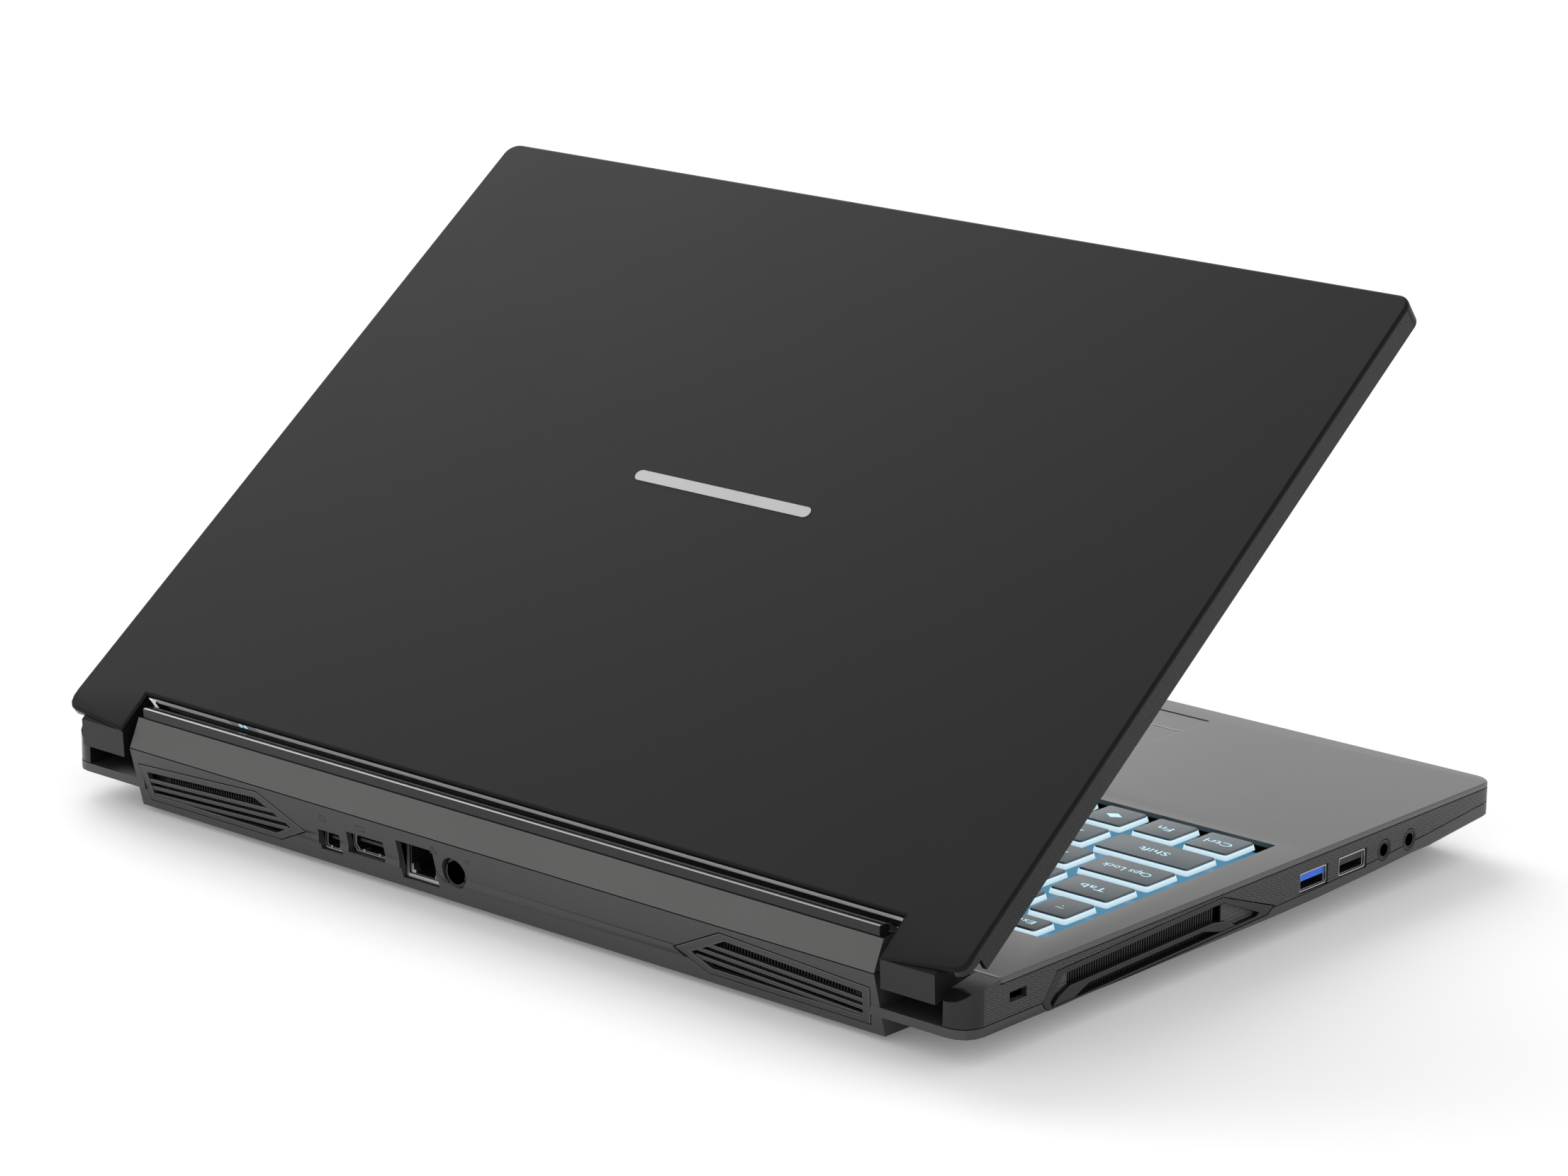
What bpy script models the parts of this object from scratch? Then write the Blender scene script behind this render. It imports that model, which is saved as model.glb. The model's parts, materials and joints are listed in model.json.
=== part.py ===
"""Laptop computer with a lid on drop hinges, as separate solids. Metres, +Z up.

The origin is on the table under the middle of the half-open laptop. +X is the user's right,
the user sits on the -Y side, and the hinge axis runs along X near the rear.
"""

import math

import bmesh
import bpy
from mathutils import Matrix, Vector

# Overall sizes
WIDTH = 0.361
BODY_DEPTH = 0.2514           # front edge of the deck to the hinge axis
DECK_Z = 0.0230               # deck surface above the table
HINGE_Z = 0.0252              # hinge axis above the table
OPEN_ANGLE = math.radians(37.16)

# Clearances and walls
GAP = 0.0003                  # between pieces that touch
RUN_GAP = 0.0001              # hinge pin in its barrel, on the radius
CASE_WALL = 0.0018
HOOD_WALL = 0.0012
LID_WALL = 0.0016

# Lower casing
BELLY_Z = 0.0020              # underside above the table
SKIRT_Z = 0.0083              # where the side wall turns in under the casing
SEAM_Z = 0.0110               # joint between the side wall and the bottom cover
SEAM_RISE = 0.0061            # how much the joint climbs towards the front
SKIRT_RISE = 0.0048
RISE_START = 0.1146           # from the front edge, where that climb begins
BELLY_SIDE_INSET = 0.0140
BELLY_FRONT_INSET = 0.0070
BELLY_REAR_INSET = 0.0150
FRONT_RADIUS = 0.0060
REAR_RADIUS = 0.0070
DECK_THICK = 0.0015
DECK_CHAMFER = 0.0005
RIM_BEHIND_AXIS = 0.0032      # rear rim beside the tail
TAIL_END_INSET = 0.0303       # side of the casing to the end of the tail block

# Ear pocket, where the lid's ears turn
POCKET_AHEAD = 0.0106         # front wall of the pocket ahead of the axis
CORNER_BLOCK = 0.0085         # width of the block outside the pocket
CORNER_DROP = 0.0018          # how far the corner block's top has fallen at the axis
CORNER_FALL = 0.0045          # and at its rear

# Lid
LID_FRONT_STEP = 0.0019       # the deck reaches this far past the closed lid
LID_TOP = 0.00677             # outer face above the axis
LID_RIM = -0.0012             # edge of the lid's rim below the axis
LID_SKIN = 0.00157
LID_RADIUS = 0.0050
LID_CHAMFER = 0.0006
NOTCH_AHEAD = 0.00935         # lid's rear edge between the ears, ahead of the axis
EAR_GAP = 0.0024              # tail's end to the ear
EAR_BEHIND = 0.00467          # ear's rear edge behind the axis
EAR_TIP_BEHIND = 0.00216
EAR_WIDTH = 0.0190
LIP_THICK = 0.0036            # lid's edge outside the ear
LID_REAR_WALL = 0.0027
BEZEL_FACE = -0.0010
BEZEL_THICK = 0.0012
SCREEN_WIDTH = 0.3442
SCREEN_HEIGHT = 0.1936
SCREEN_TOP_MARGIN = 0.0105    # lid's front edge to the lit area
PANEL_BORDER = 0.0029
PANEL_THICK = 0.0028
PIN_RADIUS = 0.0015
BARREL_RADIUS = 0.0024
BARREL_LENGTH = 0.0105
BRACKET_THICK = 0.0016

# Keyboard
KEY_PITCH_X = 0.0187
KEY_PITCH_Y = 0.0189
KEY_GAP = 0.0038
KEY_HEIGHT = 0.0021
KEY_PROUD = 0.0003
KEY_TRAVEL = 0.0016
FUNCTION_DEPTH = 0.0100
KEYBOARD_WIDTH = 0.3270
KEYBOARD_AHEAD = 0.1003       # front edge of the deck to the nearest keys
NUMPAD_COLUMNS = 4
NUMPAD_PITCH = 0.0151
NUMPAD_KEY_GAP = 0.0030
NUMPAD_GAP = 0.0036
SPACE_FIRST = 4               # whole keys before the space bar
SPACE_KEYS = 5                # keys that the space bar takes the place of
CARRIER_DROP = 0.0002         # strip that joins a row's keys, below their feet
WELL_MARGIN = 0.0050

# Touchpad
PAD_CENTRE_X = -0.0267
PAD_WIDTH = 0.1070
PAD_DEPTH = 0.0582
PAD_FRONT = 0.0104            # front edge of the deck to the buttons
BUTTON_DEPTH = 0.0144
BUTTON_TRAVEL = 0.0005

# Vents
SIDE_VENT_BACK = 0.0293       # ahead of the axis
SIDE_VENT_LENGTH = 0.1072
VENT_DEPTH = 0.0040
REAR_VENT_LENGTH = 0.0724
REAR_VENT_END = 0.0027        # tail's end to the vent
FIN_PITCH = 0.0022
FIN_THICK = 0.0005

# Fans
FAN_RADIUS = 0.0250
FAN_CASE = 0.0590
FAN_INSET = 0.0422            # tail's end to the fan's centre
FAN_AHEAD = 0.0500            # fan's centre ahead of the axis
FAN_TOP = 0.0148
BLADES = 17

# Boards and speakers
BOARD_Z = 0.0104              # underside of the mainboard
BOARD_THICK = 0.0012
SPEAKER_INSET = 0.0430        # side of the casing to a speaker's middle

# Lid trim, feet, screws and sockets
TRIM_DEPTH = 0.0014
TRIM_SETBACK = 0.0002         # trim's face ahead of the lid's rear edge
TRIM_LOW = 0.0028             # trim's lower edge above the axis
TRIM_END_GAP = 0.0030
STATUS_INSET = 0.0350         # trim's end to the status window
STATUS_WIDTH = 0.0110
FOOT_WIDTH = 0.0090
SCREW_RADIUS = 0.0023
JACK_RADIUS = 0.0031
SHELL = 0.0006
SIDE_SOCKET_DEPTH = 0.0130
REAR_SOCKET_DEPTH = 0.0110
JACK_DEPTH = 0.0120
LOCK_LENGTH = 0.0074
LOCK_HEIGHT = 0.0029
LOCK_Z = 0.0152

HALF = WIDTH / 2
LID_EDGE = LID_TOP - LID_CHAMFER
REAR_REACH = EAR_BEHIND * math.cos(OPEN_ANGLE) + LID_EDGE * math.sin(OPEN_ANGLE)
HINGE_Y = (BODY_DEPTH - REAR_REACH) / 2
FRONT_Y = HINGE_Y - BODY_DEPTH
RIM_Y = HINGE_Y + RIM_BEHIND_AXIS
POCKET_Y = HINGE_Y - POCKET_AHEAD
TAIL_HALF = HALF - TAIL_END_INSET
EAR_IN = TAIL_HALF + EAR_GAP
POCKET_OUT = HALF - CORNER_BLOCK
DECK_UNDER = DECK_Z - DECK_THICK
LID_LENGTH = BODY_DEPTH - LID_FRONT_STEP
KEY_LEFT = -KEYBOARD_WIDTH / 2
KEY_RIGHT = KEYBOARD_WIDTH / 2
KEY_FRONT = FRONT_Y + KEYBOARD_AHEAD
KEY_TOP_Z = DECK_Z + KEY_PROUD
KEY_DEPTH = KEY_PITCH_Y - KEY_GAP
SCREEN_MIDDLE = LID_LENGTH - SCREEN_TOP_MARGIN - SCREEN_HEIGHT / 2
FLOOR_Z = BELLY_Z + CASE_WALL

# Tail block: rear face of the bottom cover, from the joint with the hood down to the belly
TAIL_FACE = [(HINGE_Y + 0.0059, DECK_UNDER - GAP), (HINGE_Y + 0.0030, BELLY_Z + 0.0084),
             (HINGE_Y + 0.0008, BELLY_Z)]

# Rear vent outline as (distance from the tail's end, height)
REAR_VENT = ((REAR_VENT_END, 0.0164), (0.0565, 0.0193), (REAR_VENT_END + REAR_VENT_LENGTH, 0.0103),
             (0.0633, 0.0051), (0.0046, 0.0048))

# Sockets: centre along the edge, centre height, size along the edge, height
SIDE_SOCKETS = (("usb_socket_blue", 0.0951, 0.0149, 0.0134, 0.0056),
                ("usb_socket_black", 0.0754, 0.0149, 0.0136, 0.0056))
JACKS = (("microphone_jack", 0.0592, 0.0149), ("headphone_jack", 0.0460, 0.0149))
RIGHT_SOCKETS = (("usb_socket_right", 0.0951, 0.0149, 0.0134, 0.0056),)
REAR_SOCKETS = (("mini_display_socket", 0.0643, 0.0095, 0.0086, 0.0060),
                ("display_socket", 0.0483, 0.0117, 0.0150, 0.0060),
                ("network_socket", 0.0269, 0.0112, 0.0146, 0.0117))
POWER_INLET = (0.0115, 0.0120, 0.0046)

# Each row, nearest the user first, and where its second key starts from the first one's edge
KEY_ROWS = (("bottom", 0.0199), ("shift", 0.0382), ("caps", 0.0294), ("tab", 0.0248),
            ("number", 0.0175), ("function", 0.0175))

# Feet: name, middle along X and Y, and length
FOOT_BARS = (("foot_rear", 0.0, HINGE_Y - 0.0260, 0.2000),
             ("foot_front_left", -0.1200, FRONT_Y + 0.0190, 0.0600),
             ("foot_front_right", 0.1200, FRONT_Y + 0.0190, 0.0600))

FINISHES = {
    "deck_grey": ((0.11, 0.11, 0.115), 0.38, 0.6),
    "case_black": ((0.030, 0.030, 0.032), 0.45, 0.0),
    "lid_black": ((0.020, 0.020, 0.021), 0.35, 0.3),
    "gloss_black": ((0.008, 0.008, 0.009), 0.12, 0.0),
    "trim_silver": ((0.45, 0.45, 0.46), 0.30, 0.8),
    "key_grey": ((0.09, 0.095, 0.10), 0.50, 0.0),
    "light_blue": ((0.55, 0.85, 1.0), 0.40, 0.0),
    "screen": ((0.010, 0.011, 0.013), 0.15, 0.0),
    "rubber": ((0.020, 0.020, 0.020), 0.85, 0.0),
    "steel": ((0.55, 0.55, 0.57), 0.30, 1.0),
    "aluminium": ((0.60, 0.61, 0.62), 0.35, 1.0),
    "copper": ((0.72, 0.38, 0.22), 0.30, 1.0),
    "board_green": ((0.02, 0.10, 0.05), 0.60, 0.0),
    "pack_black": ((0.025, 0.025, 0.028), 0.60, 0.0),
    "port_black": ((0.012, 0.012, 0.013), 0.50, 0.0),
}


def clear_scene():
    for item in list(bpy.data.objects):
        bpy.data.objects.remove(item, do_unlink=True)


def make_collection(name):
    group = bpy.data.collections.new(name)
    bpy.context.scene.collection.children.link(group)
    return group


def make_finish(name):
    color, roughness, metallic = FINISHES[name]
    finish = bpy.data.materials.get(name) or bpy.data.materials.new(name)
    finish.use_nodes = True
    shader = finish.node_tree.nodes["Principled BSDF"]
    shader.inputs["Base Color"].default_value = (*color, 1.0)
    shader.inputs["Roughness"].default_value = roughness
    shader.inputs["Metallic"].default_value = metallic
    return finish


def add_piece(name, bm, finish, parent=None):
    """Turns a bmesh into a named object with its own material."""
    bmesh.ops.recalc_face_normals(bm, faces=bm.faces)
    mesh = bpy.data.meshes.new(name)
    bm.to_mesh(mesh)
    bm.free()
    mesh.materials.append(make_finish(finish))
    item = bpy.data.objects.new(name, mesh)
    PIECES.objects.link(item)
    item.parent = parent
    return item


def add_pivot(name, location, turn_x=0.0):
    pivot = bpy.data.objects.new(name, None)
    pivot.location = location
    pivot.rotation_euler.x = turn_x
    PIECES.objects.link(pivot)
    return pivot


def combine(item, bm, operation="DIFFERENCE"):
    """Cuts a bmesh out of a piece, or joins it on, with a live Boolean."""
    bmesh.ops.recalc_face_normals(bm, faces=bm.faces)
    mesh = bpy.data.meshes.new(item.name + "_tool")
    bm.to_mesh(mesh)
    bm.free()
    tool = bpy.data.objects.new(mesh.name, mesh)
    CUTTERS.objects.link(tool)
    tool.parent = item.parent
    tool.hide_render = True
    tool.display_type = "WIRE"
    change = item.modifiers.new(operation.title(), "BOOLEAN")
    change.operation = operation
    change.solver = "EXACT"
    change.object = tool


def add_block(bm, low, high):
    low = Vector(low)
    high = Vector(high)
    size = high - low
    place = Matrix.Translation((low + high) / 2)
    bmesh.ops.create_cube(bm, size=1.0, matrix=place @ Matrix.Diagonal((*size, 1.0)))


def add_drum(bm, centre, radius, length, axis="Z", sides=24):
    """A cylinder centred on a point, along X, Y or Z."""
    turns = {"X": Matrix.Rotation(math.pi / 2, 4, "Y"), "Y": Matrix.Rotation(math.pi / 2, 4, "X")}
    place = Matrix.Translation(centre) @ turns.get(axis, Matrix.Identity(4))
    bmesh.ops.create_cone(bm, cap_ends=True, segments=sides, radius1=radius, radius2=radius,
                          depth=length, matrix=place)


def add_prism(bm, outline, travel):
    """Extrudes a flat outline of 3-D points along a vector."""
    face = bm.faces.new([bm.verts.new(point) for point in outline])
    made = bmesh.ops.extrude_face_region(bm, geom=[face])
    moved = [part for part in made["geom"] if isinstance(part, bmesh.types.BMVert)]
    bmesh.ops.translate(bm, verts=moved, vec=travel)


def add_bar(bm, profile, left, right):
    """A bar along X whose section is a list of (y, z) points."""
    add_prism(bm, [(left, y, z) for y, z in profile], (right - left, 0, 0))


def add_slab(bm, sections):
    """A loft up through like outlines. Each is the right half, front to rear, and is mirrored."""
    rings = []
    for section in sections:
        right = [bm.verts.new(point) for point in section]
        left = [bm.verts.new((-x, y, z)) for x, y, z in section]
        rings.append(right + left[::-1])
    for lower, upper in zip(rings, rings[1:]):
        for i in range(len(lower)):
            bm.faces.new((lower[i - 1], lower[i], upper[i], upper[i - 1]))
    for ring in (rings[0], rings[-1]):
        for i in range(len(ring) // 2 - 1):
            bm.faces.new((ring[i], ring[i + 1], ring[-2 - i], ring[-1 - i]))


def new_block(low, high):
    bm = bmesh.new()
    add_block(bm, low, high)
    return bm


def arc(centre, radius, start, end, steps):
    angles = [math.radians(start + (end - start) * i / steps) for i in range(steps + 1)]
    return [(centre[0] + radius * math.cos(a), centre[1] + radius * math.sin(a)) for a in angles]


def case_outline(half, front, rear, front_radius, rear_radius):
    """Right half of the casing's outline, from the front edge to the rear edge."""
    points = arc((half - front_radius, front + front_radius), front_radius, -90, 0, 4)
    points += [(half, FRONT_Y + RISE_START * share) for share in (0.3, 0.55, 0.8, 1.0)]
    points += arc((half - rear_radius, rear - rear_radius), rear_radius, 0, 90, 4)
    return points


def climb(y, rise):
    """Height gained by the joint line between its level stretch and the front edge."""
    share = max(0.0, (FRONT_Y + RISE_START - y) / RISE_START)
    return rise * share ** 1.7


def seam_points(outline, offset=0.0):
    return [(x, y, SEAM_Z + offset + climb(y, SEAM_RISE)) for x, y in outline]


def skirt_points(outline, offset=0.0):
    return [(x, y, SKIRT_Z + offset + climb(y, SKIRT_RISE)) for x, y in outline]


def level_points(outline, z):
    return [(x, y, z) for x, y in outline]


def mirror_bars(bm, profile, inner, outer):
    add_bar(bm, profile, inner, outer)
    add_bar(bm, profile, -outer, -inner)


def mirror_blocks(bm, low, high):
    add_block(bm, low, high)
    add_block(bm, (-high[0], low[1], low[2]), (-low[0], high[1], high[2]))


def tail_face_y(z):
    """How far back the tail's rear face stands at a height."""
    for (upper_y, upper_z), (lower_y, lower_z) in zip(TAIL_FACE, TAIL_FACE[1:]):
        if z >= lower_z:
            return lower_y + (upper_y - lower_y) * (z - lower_z) / (upper_z - lower_z)
    return TAIL_FACE[-1][0]


def build_bottom_cover():
    outline = case_outline(HALF, FRONT_Y, RIM_Y, FRONT_RADIUS, REAR_RADIUS)
    belly = case_outline(HALF - BELLY_SIDE_INSET, FRONT_Y + BELLY_FRONT_INSET,
                         RIM_Y - BELLY_REAR_INSET, FRONT_RADIUS, REAR_RADIUS)
    bm = bmesh.new()
    add_slab(bm, [level_points(belly, BELLY_Z), skirt_points(outline), seam_points(outline)])
    cover = add_piece("bottom_cover", bm, "case_black")

    bm = bmesh.new()
    front = POCKET_Y - 0.0080
    add_bar(bm, [(front, BELLY_Z), (front, TAIL_FACE[0][1])] + TAIL_FACE, -TAIL_HALF, TAIL_HALF)
    combine(cover, bm, "UNION")

    inner_rear = POCKET_Y - CASE_WALL
    inner = case_outline(HALF - CASE_WALL, FRONT_Y + CASE_WALL, inner_rear, FRONT_RADIUS,
                         REAR_RADIUS)
    floor = case_outline(HALF - BELLY_SIDE_INSET - CASE_WALL,
                         FRONT_Y + BELLY_FRONT_INSET + CASE_WALL,
                         inner_rear - 0.0020, FRONT_RADIUS, REAR_RADIUS)
    bm = bmesh.new()
    lifted = [(x, y, z + 0.0200) for x, y, z in seam_points(inner)]
    add_slab(bm, [level_points(floor, FLOOR_Z), skirt_points(inner, CASE_WALL / 2), lifted])
    combine(cover, bm)

    bm = bmesh.new()
    room = [(y - CASE_WALL, z) for y, z in TAIL_FACE]
    room[0] = (room[0][0], DECK_Z)
    room[-1] = (room[-1][0] + 0.0002, FLOOR_Z)
    front = inner_rear - 0.0060
    add_bar(bm, [(front, FLOOR_Z), (front, DECK_Z)] + room, -TAIL_HALF + HOOD_WALL,
            TAIL_HALF - HOOD_WALL)
    combine(cover, bm)
    return cover


def build_side_frame():
    outline = case_outline(HALF, FRONT_Y, RIM_Y, FRONT_RADIUS, REAR_RADIUS)
    bm = bmesh.new()
    add_slab(bm, [seam_points(outline, GAP), level_points(outline, DECK_Z)])
    frame = add_piece("side_frame", bm, "case_black")

    inner = case_outline(HALF - CASE_WALL, FRONT_Y + CASE_WALL, POCKET_Y - CASE_WALL,
                         FRONT_RADIUS, REAR_RADIUS)
    bm = bmesh.new()
    add_slab(bm, [level_points(inner, 0), level_points(inner, 2 * DECK_Z)])
    combine(frame, bm)
    under_deck = DECK_UNDER - GAP
    combine(frame, new_block((-WIDTH, -BODY_DEPTH, under_deck), (WIDTH, POCKET_Y, 2 * DECK_Z)))
    edge = TAIL_HALF + GAP
    combine(frame, new_block((-edge, POCKET_Y - 0.0100, 0), (edge, BODY_DEPTH, 2 * DECK_Z)))
    bm = bmesh.new()
    mirror_blocks(bm, (edge - 0.0050, POCKET_Y, 0), (POCKET_OUT, BODY_DEPTH, 2 * DECK_Z))
    combine(frame, bm)

    behind = RIM_Y + GAP
    slope = [(POCKET_Y, DECK_Z), (HINGE_Y, DECK_Z - CORNER_DROP), (RIM_Y, DECK_Z - CORNER_FALL),
             (behind, DECK_Z - CORNER_FALL), (behind, 2 * DECK_Z), (POCKET_Y, 2 * DECK_Z)]
    bm = bmesh.new()
    mirror_bars(bm, slope, POCKET_OUT - 0.0050, WIDTH)
    combine(frame, bm)
    return frame


def hood_profile(wall):
    """Section of the raised hood over the hinges, as (y, z), shrunk by a wall."""
    points = [(-0.0084 + wall, -0.0022), (-0.0076 + wall, 0.0022 - wall / 3),
              (-0.0049 + wall * 0.5, 0.0051 - wall), (-0.0020, 0.0056 - wall),
              (0.0020 - wall * 0.7, 0.0052 - wall * 0.9)]
    base = DECK_UNDER - HINGE_Z - (GAP if wall else 0)
    rear_slope = (0.0059 - 0.0020) / (0.0052 + (HINGE_Z - DECK_UNDER))
    rear = 0.0020 + rear_slope * (0.0052 - base) - wall * 1.09
    points = [(points[0][0], base)] + points + [(rear, base)]
    return [(HINGE_Y + y, HINGE_Z + z) for y, z in points]


def build_deck_panel():
    rear = POCKET_Y - GAP
    outline = case_outline(HALF, FRONT_Y, rear, FRONT_RADIUS, 0.0012)
    top = case_outline(HALF - DECK_CHAMFER, FRONT_Y + DECK_CHAMFER, rear,
                       FRONT_RADIUS - DECK_CHAMFER, 0.0012)
    bm = bmesh.new()
    add_slab(bm, [level_points(outline, DECK_UNDER), level_points(outline, DECK_Z - DECK_CHAMFER),
                  level_points(top, DECK_Z)])
    deck = add_piece("deck_panel", bm, "deck_grey")
    hood_half = TAIL_HALF - RUN_GAP
    front = hood_profile(0)[0][0]
    combine(deck, new_block((-hood_half, rear - 0.0040, DECK_UNDER),
                            (hood_half, front + 0.0030, DECK_Z)), "UNION")
    bm = bmesh.new()
    add_bar(bm, hood_profile(0), -hood_half, hood_half)
    combine(deck, bm, "UNION")
    inside = hood_profile(HOOD_WALL)
    inside[0] = (inside[0][0], DECK_UNDER - 0.0010)
    inside[-1] = (inside[-1][0], DECK_UNDER - 0.0010)
    bm = bmesh.new()
    add_bar(bm, inside, -hood_half + HOOD_WALL, hood_half - HOOD_WALL)
    combine(deck, bm)
    bm = bmesh.new()
    add_drum(bm, (0, HINGE_Y, HINGE_Z), PIN_RADIUS + GAP, WIDTH, "X")
    combine(deck, bm)
    return deck


def cut_deck(deck):
    """Openings for the keyboard, the touchpad with its buttons and the power button."""
    low_x, high_x, low_y, high_y = well_limits()
    bm = bmesh.new()
    add_block(bm, (low_x, low_y, 0), (high_x, high_y, 2 * DECK_Z))
    low, high = pad_limits()
    add_block(bm, (low[0] - GAP, low[1] - GAP, 0), (high[0] + GAP, high[1] + GAP, 2 * DECK_Z))
    low, high = power_button_limits()
    add_block(bm, (low[0] - GAP, low[1] - GAP, 0), (high[0] + GAP, high[1] + GAP, 2 * DECK_Z))
    combine(deck, bm)


def well_limits():
    rear = KEY_FRONT + 5 * KEY_PITCH_Y + FUNCTION_DEPTH
    return (KEY_LEFT - WELL_MARGIN, KEY_RIGHT + WELL_MARGIN, KEY_FRONT - WELL_MARGIN / 2,
            rear + WELL_MARGIN / 2)


def pad_limits():
    """Opening for the touchpad and its two buttons."""
    low = (PAD_CENTRE_X - PAD_WIDTH / 2, FRONT_Y + PAD_FRONT)
    return low, (low[0] + PAD_WIDTH, low[1] + BUTTON_DEPTH + GAP + PAD_DEPTH)


def power_button_limits():
    size = (0.0140, 0.0075)
    centre = (KEY_RIGHT - 0.0130, well_limits()[3] + 0.0120)
    low = (centre[0] - size[0] / 2, centre[1] - size[1] / 2)
    return low, (low[0] + size[0], low[1] + size[1])


def add_key(bm, left, right, front, depth):
    """A keycap: a box whose top is a little smaller than its foot."""
    start = len(bm.verts)
    add_block(bm, (left, front, KEY_TOP_Z - KEY_HEIGHT), (right, front + depth, KEY_TOP_Z))
    bm.verts.ensure_lookup_table()
    middle = Vector(((left + right) / 2, front + depth / 2, 0))
    for vert in bm.verts[start:]:
        if vert.co.z > KEY_TOP_Z - KEY_HEIGHT / 2:
            shrink = [0.0005 if vert.co[i] < middle[i] else -0.0005 for i in (0, 1)]
            vert.co.x += shrink[0]
            vert.co.y += shrink[1]


def numpad_left():
    return KEY_RIGHT - NUMPAD_COLUMNS * NUMPAD_PITCH + NUMPAD_KEY_GAP


def key_spans(second):
    """Left and right edges of one row's keys, with the numeric keys last."""
    main_right = numpad_left() - NUMPAD_GAP
    spans = [(KEY_LEFT, KEY_LEFT + second - KEY_GAP)]
    left = KEY_LEFT + second
    while left + 2 * KEY_PITCH_X - KEY_GAP < main_right:
        spans.append((left, left + KEY_PITCH_X - KEY_GAP))
        left += KEY_PITCH_X
    spans.append((left, main_right))
    for column in range(NUMPAD_COLUMNS):
        left = numpad_left() + column * NUMPAD_PITCH
        spans.append((left, left + NUMPAD_PITCH - NUMPAD_KEY_GAP))
    return spans


def build_key_group(name, spans, front, depth):
    """Keys that share a carrier strip, which joins their feet."""
    bm = bmesh.new()
    for left, right in spans:
        add_key(bm, left, right, front, depth)
    group = add_piece(name, bm, "key_grey")
    foot = KEY_TOP_Z - KEY_HEIGHT
    inset = depth / 3
    strip = new_block((spans[0][0] + KEY_GAP, front + inset, foot - CARRIER_DROP),
                      (spans[-1][1] - KEY_GAP, front + depth - inset, foot + CARRIER_DROP))
    combine(group, strip, "UNION")


def build_key_rows():
    for index, (name, second) in enumerate(KEY_ROWS):
        front = KEY_FRONT + index * KEY_PITCH_Y
        depth = FUNCTION_DEPTH if name == "function" else KEY_DEPTH
        spans = key_spans(second)
        if name != "bottom":
            build_key_group("keys_" + name + "_row", spans, front, depth)
            continue
        after = SPACE_FIRST + SPACE_KEYS
        build_key_group("keys_bottom_left", spans[:SPACE_FIRST], front, depth)
        build_key_group("keys_bottom_right", spans[after:], front, depth)
        bm = bmesh.new()
        add_key(bm, spans[SPACE_FIRST][0], spans[after - 1][1], front, depth)
        add_piece("space_bar", bm, "key_grey")


def build_keyboard_base():
    low_x, high_x, low_y, high_y = well_limits()
    lip = 0.0030
    top = KEY_TOP_Z - KEY_HEIGHT - CARRIER_DROP - KEY_TRAVEL - GAP / 2
    sheet_under = top - 0.0003
    add_piece("backlight_sheet", new_block((low_x + GAP, low_y + GAP, sheet_under),
                                           (high_x - GAP, high_y - GAP, top)), "light_blue")
    plate_top = sheet_under - GAP
    add_piece("keyboard_plate", new_block((low_x - lip, low_y - lip, plate_top - 0.0008),
                                          (high_x + lip, high_y + lip, plate_top)), "steel")


def build_touchpad():
    low, high = pad_limits()
    top = DECK_Z - 0.0002
    split_y = low[1] + BUTTON_DEPTH
    split_x = (low[0] + high[0]) / 2
    under = top - 0.0018
    add_piece("touchpad", new_block((low[0], split_y + GAP, under), (high[0], high[1], top)),
              "deck_grey")
    sides = {"left": (low[0], split_x - GAP / 2), "right": (split_x + GAP / 2, high[0])}
    for side, (start, end) in sides.items():
        add_piece("touchpad_button_" + side, new_block((start, low[1], under),
                                                       (end, split_y, top)), "deck_grey")


def build_power_button():
    low, high = power_button_limits()
    add_piece("power_button", new_block((*low, DECK_Z - 0.0020), (*high, DECK_Z + 0.0003)),
              "trim_silver")


def grown(outline, amount):
    """A flat outline pushed outwards by the same distance all round."""
    middle = sum((Vector(point) for point in outline), Vector((0, 0))) / len(outline)
    corners = [Vector(point) for point in outline]
    moved = []
    for i, corner in enumerate(corners):
        before = (corner - corners[i - 1]).normalized()
        after = (corners[(i + 1) % len(corners)] - corner).normalized()
        push = before.orthogonal() + after.orthogonal()
        push *= amount / (1 + before.dot(after))
        moved.append(corner + (push if push.dot(corner - middle) > 0 else -push))
    return [tuple(point) for point in moved]


def side_vent_outline(gap=0.0):
    """Side vent's outline as (y, z)."""
    shape = ((0.0062, 0.0186), (0.0, 0.0107), (0.0023, SKIRT_Z - 0.0003),
             (SIDE_VENT_LENGTH - 0.0030, 0.0098), (SIDE_VENT_LENGTH, 0.0116),
             (SIDE_VENT_LENGTH - 0.0250, 0.0204))
    rear = HINGE_Y - SIDE_VENT_BACK
    return grown([(rear - ahead, z) for ahead, z in shape], gap)


def add_side_prism(bm, outline, side, inner, outer):
    add_prism(bm, [(side * inner, y, z) for y, z in outline], (side * (outer - inner), 0, 0))


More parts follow.
